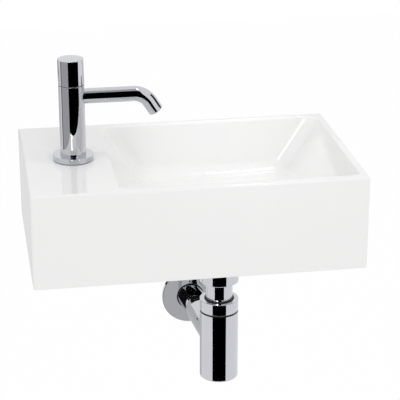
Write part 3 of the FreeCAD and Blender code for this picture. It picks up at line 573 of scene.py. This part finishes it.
@dataclass
class PillarTap(SubAssembly):
    """Foot ring, column, spout and knob. Heights are above the deck."""

    axis: Vector = field(default_factory=lambda: Vector((-129.0, -118.0, 76.0)))
    radius: float = 14.5
    foot: float = 2.4
    seam: float = 87.1
    seam_gap: float = 0.6
    top: float = 116.7
    knob_edge: float = 0.6
    knob_skirt: float = 10.5
    knob_roof: float = 8.5
    ledge: float = 56.0
    ledge_depth: float = 5.0
    chamber: float = 11.9
    bore: float = 9.0
    port: float = 5.5
    tail_bore: float = 10.53
    tail_socket: float = 12.0
    spindle_bore: float = 4.05
    skirt_bore: float = 12.1
    top_rings: tuple[float, float] = (9.0, 1.0)  # radii on the knob's flat top
    ring_hole: float = 10.88
    ring_gap: float = 0.05
    ring_radius: float = 22.7
    ring_low: float = 0.8
    ring_high: float = 6.6
    ring_edge: float = 0.8
    spout_radius: float = 7.5
    spout_wall: float = 1.4
    spout_height: float = 73.2
    spout_reach: float = 69.0
    spout_gap: float = 0.4
    bend_radius: float = 21.5
    bend: float = 58.0
    spout_end: float = 12.0
    spout_sides: int = 96
    bend_steps: int = 24
    lip: float = 0.35
    lip_steps: int = 4

    def foot_ring(self) -> bpy.types.Object:
        """Model the flat ring at the column's foot.

        Returns:
            The ring, in its place.
        """
        corners = [
            Corner(self.ring_hole, self.ring_low),
            Corner(self.ring_radius, self.ring_low, 0.2),
            Corner(self.ring_radius, self.ring_high, self.ring_edge),
            Corner(self.radius + self.ring_gap, self.ring_high, 0.15),
            Corner(self.radius + self.ring_gap, self.foot),
            Corner(self.ring_hole, self.foot),
        ]
        return put(turned("tap_foot_ring", corners), self.axis, Along.UP)

    def column(self) -> bpy.types.Object:
        """Model the column with its bore, ledge and chamber.

        Returns:
            The column, in its place.
        """
        corners = [
            Corner(self.tail_bore, self.foot),
            Corner(self.radius, self.foot),
            Corner(self.radius, self.seam, 0.3),
            Corner(self.chamber, self.seam, 0.2),
            Corner(self.chamber, self.ledge),
            Corner(self.port, self.ledge),
            Corner(self.port, self.ledge - self.ledge_depth),
            Corner(self.bore, self.ledge - self.ledge_depth),
            Corner(self.bore, self.foot + self.tail_socket),
            Corner(self.tail_bore, self.foot + self.tail_socket),
        ]
        return put(turned("tap_column", corners), self.axis, Along.UP)

    def knob(self) -> bpy.types.Object:
        """Model the round knob: pocket and bore below, closed flat top.

        Returns:
            The knob, in its place.
        """
        low = self.seam + self.seam_gap
        corners = [
            Corner(self.spindle_bore, self.top - self.knob_roof),
            Corner(self.spindle_bore, low + self.knob_skirt),
            Corner(self.skirt_bore, low + self.knob_skirt),
            Corner(self.skirt_bore, low, 0.15),
            Corner(self.radius, low, 0.3),
            Corner(self.radius, self.top, self.knob_edge),
            *(Corner(ring, self.top) for ring in self.top_rings),
        ]
        return put(turned("tap_knob", corners, solid=True), self.axis, Along.UP)

    def spout(self) -> bpy.types.Object:
        """Model the spout: a ring extruded out of the column, spun round its bend and given a wall.

        Returns:
            The spout, in its place.
        """
        start = self.chamber + self.spout_gap
        clear_selection()
        bpy.ops.mesh.primitive_circle_add(
            vertices=self.spout_sides,
            radius=self.spout_radius * MM,
            location=(start * MM, 0, self.spout_height * MM),
            rotation=(0, math.radians(90), 0),
        )
        piece = bpy.context.object
        piece.name = piece.data.name = "tap_spout"
        bpy.ops.object.transform_apply(location=True, rotation=True, scale=True)
        bpy.ops.object.mode_set(mode="EDIT")
        bpy.ops.mesh.select_all(action="SELECT")
        run = (self.spout_reach - start) * MM
        bpy.ops.mesh.extrude_region_move(TRANSFORM_OT_translate={"value": (run, 0, 0)})
        centre = (self.spout_reach * MM, 0, (self.spout_height - self.bend_radius) * MM)
        turn = math.radians(self.bend)
        bpy.ops.mesh.spin(steps=self.bend_steps, angle=-turn, center=centre, axis=(0, 1, 0))
        onward = Vector((math.cos(turn), 0, -math.sin(turn)))
        straight = (self.spout_end - self.lip) * MM
        bpy.ops.mesh.extrude_region_move(TRANSFORM_OT_translate={"value": onward * straight})
        # Round the rim inwards by a quarter circle
        for step in range(1, self.lip_steps + 1):
            angle = math.radians(90 * step / self.lip_steps)
            before = math.radians(90 * (step - 1) / self.lip_steps)
            lift = onward * self.lip * MM * (math.sin(angle) - math.sin(before))
            bpy.ops.mesh.extrude_region_move(TRANSFORM_OT_translate={"value": lift})
            reach = self.spout_radius - self.lip * (1 - math.cos(angle))
            prior = self.spout_radius - self.lip * (1 - math.cos(before))
            end = self.mouth(-self.lip * (1 - math.sin(angle)))
            bpy.ops.transform.resize(value=(reach / prior,) * 3, center_override=end * MM)
        bpy.ops.object.mode_set(mode="OBJECT")
        take(piece)
        wall = piece.modifiers.new("Wall", "SOLIDIFY")
        wall.thickness = (self.spout_wall - self.lip) * MM
        wall.offset = -1.0
        bpy.ops.object.modifier_apply(modifier=wall.name)
        return put(settle(piece), self.axis, Along.UP)

    def mouth(self, along: float) -> Vector:
        """Point on the spout's axis near the mouth.

        Args:
            along: Distance past the mouth's plane in mm.

        Returns:
            The point, from the deck's tap axis, in mm.
        """
        turn = math.radians(self.bend)
        centre = Vector((self.spout_reach, 0, self.spout_height - self.bend_radius))
        end = centre + Vector((math.sin(turn), 0, math.cos(turn))) * self.bend_radius
        return end + Vector((math.cos(turn), 0, -math.sin(turn))) * (self.spout_end + along)

    def build(self) -> None:
        """Model and dress the tap's pieces."""
        self.fit(self.foot_ring(), Slot.CHROME, "tap_base_ring")
        self.fit(self.column(), Slot.CHROME, "tap_body")
        self.fit(self.spout(), Slot.CHROME, "spout")
        self.fit(self.knob(), Slot.CHROME, "handle", TURNING_BODY)


# Waste


@dataclass
class DrainWaste(SubAssembly):
    """Flanged waste, grid and screw in the bowl's floor."""

    def build(self) -> None:
        """Smooth and dress the waste's pieces."""
        self.fit(polished_copy("waste_body", "waste_flanged_body"), Slot.CHROME, "waste_body")
        self.fit(polished_copy("waste_grid", "waste_slotted_grid"), Slot.CHROME, "waste_grid")
        self.fit(polished_copy("waste_screw", "waste_grid_screw"), Slot.CHROME, "waste_screw")


# Trap


@dataclass
class BottleTrap(SubAssembly):
    """Union nut, inlet pipe, cap, seals and bottle. Heights are from the basin's foot."""

    axis: Vector = field(default_factory=lambda: Vector((38.5, -115.0, -32.0)))
    union_radius: float = 23.3
    union_low: float = -54.5
    union_height: float = 22.0
    union_edge: float = 1.0
    union_bore: float = 21.0
    pipe_hole: float = 16.4
    pipe_gap: float = 0.05
    pipe_radius: float = 16.0
    pipe_wall: float = 1.5
    collar_radius: float = 20.0
    collar_low: float = -51.5
    collar_high: float = -49.5
    pipe_foot: float = -168.0
    cap_top: float = -77.3
    cap_edge: float = 0.5
    cap_flange: float = 2.5
    cap_mouth: float = 17.7
    skirt_height: float = 9.0
    skirt_wall: float = 1.8
    lip_seal_radius: float = 19.45
    lip_seal_height: float = 5.0
    lip_wall: float = 1.6
    lip_proud: float = 1.2
    seam: float = -92.3
    seam_gap: float = 2.2
    seam_inset: float = 0.9
    bottle_radius: float = 23.0
    bottle_bore: float = 21.4
    bottle_sharp_angle: float = 24.0

    def union_nut(self) -> bpy.types.Object:
        """Model the wide round nut under the basin.

        Returns:
            The nut, in its place.
        """
        high = self.union_low + self.union_height
        corners = [
            Corner(self.pipe_hole, self.union_low),
            Corner(self.union_radius, self.union_low, self.union_edge),
            Corner(self.union_radius, high, 0.4),
            Corner(self.union_bore, high),
            Corner(self.union_bore, self.collar_low),
            Corner(self.pipe_hole, self.collar_low),
        ]
        return put(turned("trap_round_nut", corners), self.axis, Along.UP)

    def inlet_pipe(self) -> bpy.types.Object:
        """Model the pipe with its collar.

        Returns:
            The pipe, in its place.
        """
        bore = self.pipe_radius - self.pipe_wall
        corners = [
            Corner(bore, self.pipe_foot),
            Corner(self.pipe_radius, self.pipe_foot, 0.3),
            Corner(self.pipe_radius, self.collar_low),
            Corner(self.collar_radius, self.collar_low),
            Corner(self.collar_radius, self.collar_high),
            Corner(bore, self.collar_high),
        ]
        return put(turned("trap_dip_pipe", corners), self.axis, Along.UP)

    def cap(self) -> bpy.types.Object:
        """Model the ring nut with the skirt that screws into the bottle.

        Returns:
            The ring nut, in its place.
        """
        low = self.seam + self.seam_gap / 2
        skirt = self.bottle_bore - self.pipe_gap
        inner = skirt - self.skirt_wall
        roof = self.cap_top - self.cap_flange
        corners = [
            Corner(skirt, low - self.skirt_height),
            Corner(skirt, low),
            Corner(self.bottle_radius, low, 0.25),
            Corner(self.bottle_radius, self.cap_top, self.cap_edge),
            Corner(self.cap_mouth, self.cap_top, 0.3),
            Corner(self.cap_mouth, roof),
            Corner(inner, roof),
            Corner(inner, low - self.skirt_height),
        ]
        return put(turned("trap_ring_nut", corners), self.axis, Along.UP)

    def lip_seal(self) -> bpy.types.Object:
        """Model the rubber seal whose lip stands out of the cap around the pipe.

        Returns:
            The seal, in its place.
        """
        inner = self.pipe_radius + self.pipe_gap
        high = self.cap_top - self.cap_flange
        proud = self.cap_top + self.lip_proud
        corners = [
            Corner(inner, high - self.lip_seal_height),
            Corner(self.lip_seal_radius, high - self.lip_seal_height),
            Corner(self.lip_seal_radius, high),
            Corner(inner + self.lip_wall, high),
            Corner(inner + self.lip_wall, proud, 0.5),
            Corner(inner, proud, 0.3),
        ]
        return put(turned("trap_lip_seal", corners), self.axis, Along.UP)

    def neck_ring(self) -> bpy.types.Object:
        """Model the rubber ring in the seam above the bottle.

        Returns:
            The ring, in its place.
        """
        low = self.seam - self.seam_gap / 2
        outer = self.bottle_radius - self.seam_inset
        corners = [
            Corner(self.bottle_bore, low),
            Corner(outer, low, 0.3),
            Corner(outer, low + self.seam_gap, 0.3),
            Corner(self.bottle_bore, low + self.seam_gap),
        ]
        return put(turned("trap_seam_ring", corners), self.axis, Along.UP)

    def build(self) -> None:
        """Model and dress the trap's pieces."""
        self.fit(self.union_nut(), Slot.CHROME, "trap_union_nut")
        self.fit(self.inlet_pipe(), Slot.CHROME, "trap_inlet_pipe")
        self.fit(self.cap(), Slot.CHROME, "trap_cap")
        self.fit(self.lip_seal(), Slot.RUBBER, "trap_cap_seal")
        self.fit(self.neck_ring(), Slot.RUBBER, "trap_neck_ring")
        bottle = polished_copy("trap_bottle", "trap_bottle_body", self.bottle_sharp_angle)
        self.fit(bottle, Slot.CHROME, "trap_bottle")


# Outlet


@dataclass
class WallOutlet(SubAssembly):
    """Waste pipe into the wall and the rosette over its hole."""

    axis: Vector = field(default_factory=lambda: Vector((38.5, -115.0, -156.0)))
    pipe_radius: float = 16.0
    pipe_wall: float = 1.5
    start: float = 36.0
    to_wall: float = 116.434  # along the skewed pipe
    past_wall: float = 42.0
    mark_past_wall: float = 3.0
    mark_depth: float = 0.3
    mark_width: float = 1.0
    rosette_x: float = 21.24  # where the pipe passes the rosette's face
    rosette_radius: float = 35.5
    rosette_depth: float = 6.0
    rosette_wall: float = 1.4
    rosette_edge: float = 0.8
    rosette_hole: float = 17.1

    def pipe(self) -> bpy.types.Object:
        """Model the pipe with its turned depth mark.

        Returns:
            The pipe, in its place.
        """
        bore = self.pipe_radius - self.pipe_wall
        end = self.to_wall + self.past_wall
        mark = self.to_wall + self.mark_past_wall
        mark_end = mark + self.mark_width
        groove = self.pipe_radius - self.mark_depth
        corners = [
            Corner(bore, self.start),
            Corner(self.pipe_radius, self.start),
            Corner(self.pipe_radius, mark),
            Corner(groove, mark),
            Corner(groove, mark_end),
            Corner(self.pipe_radius, mark_end),
            Corner(self.pipe_radius, end, 0.3),
            Corner(bore, end),
        ]
        return put(turned("wall_waste_pipe", corners), self.axis, Along.OUTLET)

    def rosette(self) -> bpy.types.Object:
        """Model the shallow cup over the hole in the wall.

        Returns:
            The rosette, in its place.
        """
        roof = self.rosette_wall - self.rosette_depth
        inner = self.rosette_radius - self.rosette_wall
        corners = [
            Corner(self.rosette_hole, -self.rosette_depth, 0.25),
            Corner(self.rosette_hole, roof),
            Corner(inner, roof),
            Corner(inner, 0.0),
            Corner(self.rosette_radius, 0.0),
            Corner(self.rosette_radius, -self.rosette_depth, self.rosette_edge),
        ]
        origin = Vector((self.rosette_x, 0.0, self.axis.z))
        return put(turned("wall_cover_rosette", corners), origin, Along.WALL)

    def build(self) -> None:
        """Model and dress the outlet's pieces."""
        self.fit(self.pipe(), Slot.CHROME, "wall_pipe")
        self.fit(self.rosette(), Slot.CHROME, "wall_rosette")


# Carried-over solids


@dataclass
class InnerHardware:
    """The CAD nodes that keep their own solids and only get a finish."""

    paint: Paintbox

    def build(self, replaced: Sequence[str]) -> None:
        """Dress every node that no new piece stands for.

        Args:
            replaced: Nodes that new pieces replace.
        """
        for name, slot in self.slots().items():
            if name not in replaced:
                self.paint.dress_node(name, slot)

    def slots(self) -> dict[str, Slot]:
        """Slot of every node, as the record gives it."""
        return {entry["node"]: Slot(entry["material_slot"]) for entry in frame["record"]["subparts"]}


# Studio


def backdrop_rays(tree: bpy.types.NodeTree) -> bpy.types.NodeSocket:
    """Tell the rays that see the white backdrop from those that light the object.

    Args:
        tree: Node tree that needs the answer.

    Returns:
        A socket that is 1 for camera, glossy and transmission rays, and 0 for the rest.
    """
    path = add_node(tree, "LightPath")
    seen = path.outputs["Is Camera Ray"]
    for kind in ("Is Glossy Ray", "Is Transmission Ray"):
        seen = add_node(tree, "Math", {0: seen, 1: path.outputs[kind]}, operation="MAXIMUM").outputs[0]
    return seen


@dataclass(frozen=True)
class Card:
    """A card in one plain tone, which only reflections show, and only from within its reach."""

    name: str
    tone: float  # from 0 for black to 1 for white, and above 1 for a light
    reach: tuple[float, float]  # least and greatest distance in mm from which it is mirrored

    def shape(self) -> bpy.types.Object:
        """Model the card. Each kind of card has its own way."""
        raise NotImplementedError

    def paint(self) -> bpy.types.Material:
        """Make the card's material.

        Returns:
            A plain glow, see-through for rays that come from outside the reach.
        """
        material = blank_material(self.name)
        tree = material.node_tree
        length = add_node(tree, "LightPath").outputs["Ray Length"]
        near = add_node(tree, "Math", {0: length, 1: self.reach[0] * MM}, operation="LESS_THAN")
        far = add_node(tree, "Math", {0: length, 1: self.reach[1] * MM}, operation="GREATER_THAN")
        hidden = add_node(tree, "Math", {0: near.outputs[0], 1: far.outputs[0]}, operation="MAXIMUM")
        glow = add_node(tree, "Emission", {"Color": WHITE, "Strength": self.tone})
        gone = add_node(tree, "BsdfTransparent", {"Color": WHITE})
        mixed = add_node(
            tree, "MixShader", {0: hidden.outputs[0], 1: glow.outputs["Emission"], 2: gone.outputs["BSDF"]}
        )
        add_node(tree, "OutputMaterial", {"Surface": mixed.outputs["Shader"]})
        return material

    def hang(self) -> None:
        """Model the card, paint it and hide it from all but reflections."""
        card = self.shape()
        card.name = self.name
        card.data.materials.append(self.paint())
        card.visible_camera = False
        card.visible_diffuse = False
        card.visible_shadow = False
        card.visible_transmission = False


@dataclass(frozen=True)
class FlatCard(Card):
    """An upright flat card that faces along Y."""

    middle: Vector
    width: float
    height: float

    def shape(self) -> bpy.types.Object:
        """Turn a plane upright and size it.

        Returns:
            The card, not yet painted.
        """
        clear_selection()
        bpy.ops.mesh.primitive_plane_add(
            size=1.0, location=self.middle * MM, rotation=(math.radians(90), 0, 0)
        )
        card = bpy.context.object
        card.scale = (self.width * MM, self.height * MM, 1)
        return card


@dataclass(frozen=True)
class BentCard(Card):
    """A card bent round an upright axis, or round one along X where it is a lying card."""

    PANELS = 360

    axis: Vector
    radius: float
    angles: tuple[float, float]  # degrees from -Y towards +X, or towards +Z for a lying card
    span: tuple[float, float]  # both ends along the axis
    lying: bool = False

    def shape(self) -> bpy.types.Object:
        """Extrude a ring of panels along the axis and delete the panels outside the angles.

        Returns:
            The card, not yet painted.
        """
        low, high = self.span
        first, last = self.angles
        clear_selection()
        bpy.ops.mesh.primitive_circle_add(
            vertices=self.PANELS, radius=self.radius * MM, location=(0, 0, low * MM)
        )
        card = bpy.context.object
        bpy.ops.object.transform_apply(location=True, rotation=True, scale=True)
        bpy.ops.object.mode_set(mode="EDIT")
        bpy.ops.mesh.select_all(action="SELECT")
        bpy.ops.mesh.extrude_region_move(TRANSFORM_OT_translate={"value": (0, 0, (high - low) * MM)})
        bpy.ops.mesh.select_all(action="DESELECT")
        bpy.ops.mesh.select_mode(type="FACE")
        bpy.ops.object.mode_set(mode="OBJECT")
        for panel in card.data.polygons:
            angle = math.degrees(math.atan2(panel.center.x, -panel.center.y))
            panel.select = not any(first <= angle + turn <= last for turn in (-360, 0, 360))
        bpy.ops.object.mode_set(mode="EDIT")
        bpy.ops.mesh.delete(type="FACE")
        bpy.ops.mesh.select_mode(type="VERT")
        bpy.ops.object.mode_set(mode="OBJECT")
        if self.lying:
            card.matrix_world = Matrix(((0, 0, 1, 0), (0, 1, 0, 0), (1, 0, 0, 0), (0, 0, 0, 1)))
            bpy.ops.object.transform_apply(location=True, rotation=True, scale=True)
        card.location = self.axis * MM
        return card


@dataclass(frozen=True)
class Softbox:
    """A rectangular soft light. One with a narrowed spread isn't mirrored."""

    name: str
    at: Vector
    aim: Vector
    size: tuple[float, float]
    watts: float
    spread: float = FULL_SPREAD

    def hang(self) -> None:
        """Set the light up and turn it to its aim."""
        data = bpy.data.lights.new(self.name, "AREA")
        data.shape = "RECTANGLE"
        data.size = self.size[0] * MM
        data.size_y = self.size[1] * MM
        data.energy = self.watts
        data.spread = math.radians(self.spread)
        lamp = bpy.data.objects.new(self.name, data)
        bpy.context.scene.collection.objects.link(lamp)
        lamp.location = self.at * MM
        lamp.rotation_euler = ((self.aim - self.at).to_track_quat("-Z", "Y")).to_euler()
        lamp.visible_glossy = self.spread == FULL_SPREAD


# Axes that the bent cards go round, in mm
TAP = Vector((-129.0, -118.0, 0.0))
SPOUT = Vector((0.0, -118.0, 149.2))
TRAP = Vector((38.5, -115.0, 0.0))
MIDDLE = Vector((0.0, -115.0, 0.0))
LEFT_OF_PIPE = Vector((-417.0, -42.0, 0.0))

# Least and greatest distances from which a card is mirrored, in mm, to keep it off the other pieces
ANYWHERE = (0.0, 9000.0)
FROM_TAP = (385.0, 480.0)
FROM_SPOUT = (400.0, 450.0)
FROM_TRAP = (250.0, 340.0)
PAST_SPOUT = (190.0, 330.0)

# Radius of the cards round the tap and spout, and lower and upper ends of those round the tap, in mm
AROUND = 420.0
LOW = (-126.0, 180.0)
TALL = (-126.0, 315.0)

CARDS = (
    BentCard("Dark_slot_before_tap", 0.0, FROM_TAP, TAP, AROUND, (16.0, 63.0), LOW),
    BentCard("Tall_slot_before_tap", 0.0, FROM_TAP, TAP, AROUND, (-30.0, 16.0), TALL),
    BentCard("Grey_left_of_tap", 0.48, FROM_TAP, TAP, AROUND, (-94.0, -31.0), LOW),
    BentCard("Dark_strip_left_of_tap", 0.15, FROM_TAP, TAP, AROUND, (-104.0, -94.0), LOW),
    BentCard("Dark_edge_left_of_tap", 0.15, FROM_TAP, TAP, AROUND, (-160.0, -138.0), LOW),
    BentCard("Light_card_right_of_tap", 1.04, FROM_TAP, TAP, AROUND, (64.0, 150.0), LOW),
    BentCard("Dark_patch_past_spout", 0.02, PAST_SPOUT, TAP, 330.0, (76.0, 104.0), (180.0, 300.0)),
    BentCard("Dark_hood_over_spout", 0.0, FROM_SPOUT, SPOUT, AROUND, (-38.0, 55.0), (-94.0, 120.0), True),
    BentCard("Grey_hood_over_spout", 0.5, FROM_SPOUT, SPOUT, AROUND, (55.0, 85.0), (-94.0, 62.0), True),
    BentCard("Dark_slot_before_trap", 0.0, FROM_TRAP, TRAP, 300.0, (-48.0, 31.0), (-400.0, -140.0)),
    FlatCard("Light_card_before_rosette", 0.62, (0.0, 120.0), Vector((-20.0, -40.0, -214.0)), 140.0, 140.0),
    FlatCard("Dark_card_over_rosette", 0.0, (0.0, 50.0), Vector((-20.0, -46.0, -76.0)), 140.0, 80.0),
    BentCard("Dark_card_beside_pipe", 0.01, (0.0, 60.0), LEFT_OF_PIPE, 400.0, (84.5, 95.5), (-230.0, -110.0)),
    # Painted shade: these grey cards stand for a white wall in the basin's shade, seen only in reflections.
    FlatCard("Wall_left_of_basin", 0.72, ANYWHERE, Vector((-285.0, 30.0, -50.0)), 270.0, 340.0),
    FlatCard("Wall_above_rim", 0.72, ANYWHERE, Vector((75.0, 30.0, 100.0)), 450.0, 50.0),
    # Painted shade: this black card stands for the wall in shade under the basin, seen only in close
    # reflections.
    FlatCard("Dark_wall_behind_pipe", 0.01, (0.0, 66.0), Vector((34.0, 2.0, -87.0)), 112.0, 106.0),
    BentCard("Strip_light_left_of_camera", 9.0, ANYWHERE, MIDDLE, 900.0, (-27.0, -18.0), (150.0, 800.0)),
)

SOFTBOXES = (
    Softbox(
        name="Overhead strip",
        at=Vector((335.0, -250.0, 1500.0)),
        aim=Vector((335.0, -245.0, 0.0)),
        size=(90.0, 200.0),
        watts=1.7,
    ),
    Softbox(
        name="Front softbox",
        at=Vector((200.0, -1900.0, 1200.0)),
        aim=MIDDLE,
        size=(700.0, 700.0),
        watts=4.4,
        spread=178.0,
    ),
    Softbox(
        name="Bowl softbox",
        at=Vector((60.0, -700.0, 700.0)),
        aim=Vector((50.0, -10.0, 45.0)),
        size=(150.0, 150.0),
        watts=0.024,
        spread=22.0,
    ),
)


@dataclass
class Studio:
    """Camera, white surroundings, floor, reflection cards and soft lights."""

    lens: float = 136.02
    sensor: float = 36.0
    camera_at: Vector = field(default_factory=lambda: Vector((-250.5, -1718.3, 648.4)))
    pitch: float = 21.26
    heading: float = 9.42
    floor_z: float = -850.0
    floor_width: float = 8000.0
    floor_glow: float = 0.95
    ambient: float = 0.84

    def camera(self) -> None:
        """Set the camera up where the photograph was taken from."""
        data = bpy.data.cameras.new("Photo camera")
        data.lens = self.lens
        data.sensor_width = self.sensor
        data.clip_start = 0.01
        data.clip_end = 50.0
        eye = bpy.data.objects.new("Photo camera", data)
        bpy.context.scene.collection.objects.link(eye)
        eye.location = self.camera_at * MM
        eye.rotation_euler = (math.radians(90 - self.pitch), 0, math.radians(-self.heading))
        bpy.context.scene.camera = eye

    def world(self) -> None:
        """White surroundings for the camera and for reflections, a plain ambient light for the rest."""
        world = bpy.data.worlds.new("White tent")
        world.use_nodes = True
        tree = world.node_tree
        tree.nodes.clear()
        seen = backdrop_rays(tree)
        ambient = add_node(tree, "Background", {"Color": WHITE, "Strength": self.ambient})
        white = add_node(tree, "Background", {"Color": WHITE, "Strength": 1.0})
        mixed = add_node(
            tree, "MixShader", {0: seen, 1: ambient.outputs["Background"], 2: white.outputs["Background"]}
        )
        add_node(tree, "OutputWorld", {"Surface": mixed.outputs["Shader"]})
        bpy.context.scene.world = world

    def floor(self) -> None:
        """Plain white floor far below, which keeps the object's soft shadow."""
        material = blank_material("White floor")
        tree = material.node_tree
        share = add_node(tree, "Math", {0: backdrop_rays(tree), 1: self.floor_glow}, operation="MULTIPLY")
        matt = add_node(tree, "BsdfDiffuse", {"Color": linear("#FFFFFF")})
        glow = add_node(tree, "Emission", {"Color": WHITE, "Strength": 1.0})
        mixed = add_node(
            tree, "MixShader", {0: share.outputs[0], 1: matt.outputs["BSDF"], 2: glow.outputs["Emission"]}
        )
        add_node(tree, "OutputMaterial", {"Surface": mixed.outputs["Shader"]})
        clear_selection()
        bpy.ops.mesh.primitive_plane_add(size=self.floor_width * MM, location=(0, 0, self.floor_z * MM))
        plane = bpy.context.object
        plane.name = "White_floor"
        plane.data.materials.append(material)

    def build(self) -> None:
        """Set the whole studio up."""
        bpy.context.scene.view_settings.view_transform = "Standard"
        self.camera()
        self.world()
        self.floor()
        for item in (*CARDS, *SOFTBOXES):
            item.hang()
            LOG.info("studio: %s", item.name)


def main() -> None:
    """Build the basin piece by piece, then the studio."""
    logging.basicConfig(level=logging.INFO, format="%(name)s: %(message)s")
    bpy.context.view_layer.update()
    paint = Paintbox()
    for group in (BasinBody, PillarTap, DrainWaste, BottleTrap, WallOutlet):
        LOG.info("building %s", group.__name__)
        group(paint).build()
    replaced = [name for piece in bpy.data.objects for name in piece.get("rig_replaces", [])]
    InnerHardware(paint).build(replaced)
    Studio().build()


if __name__ == "__main__":
    main()
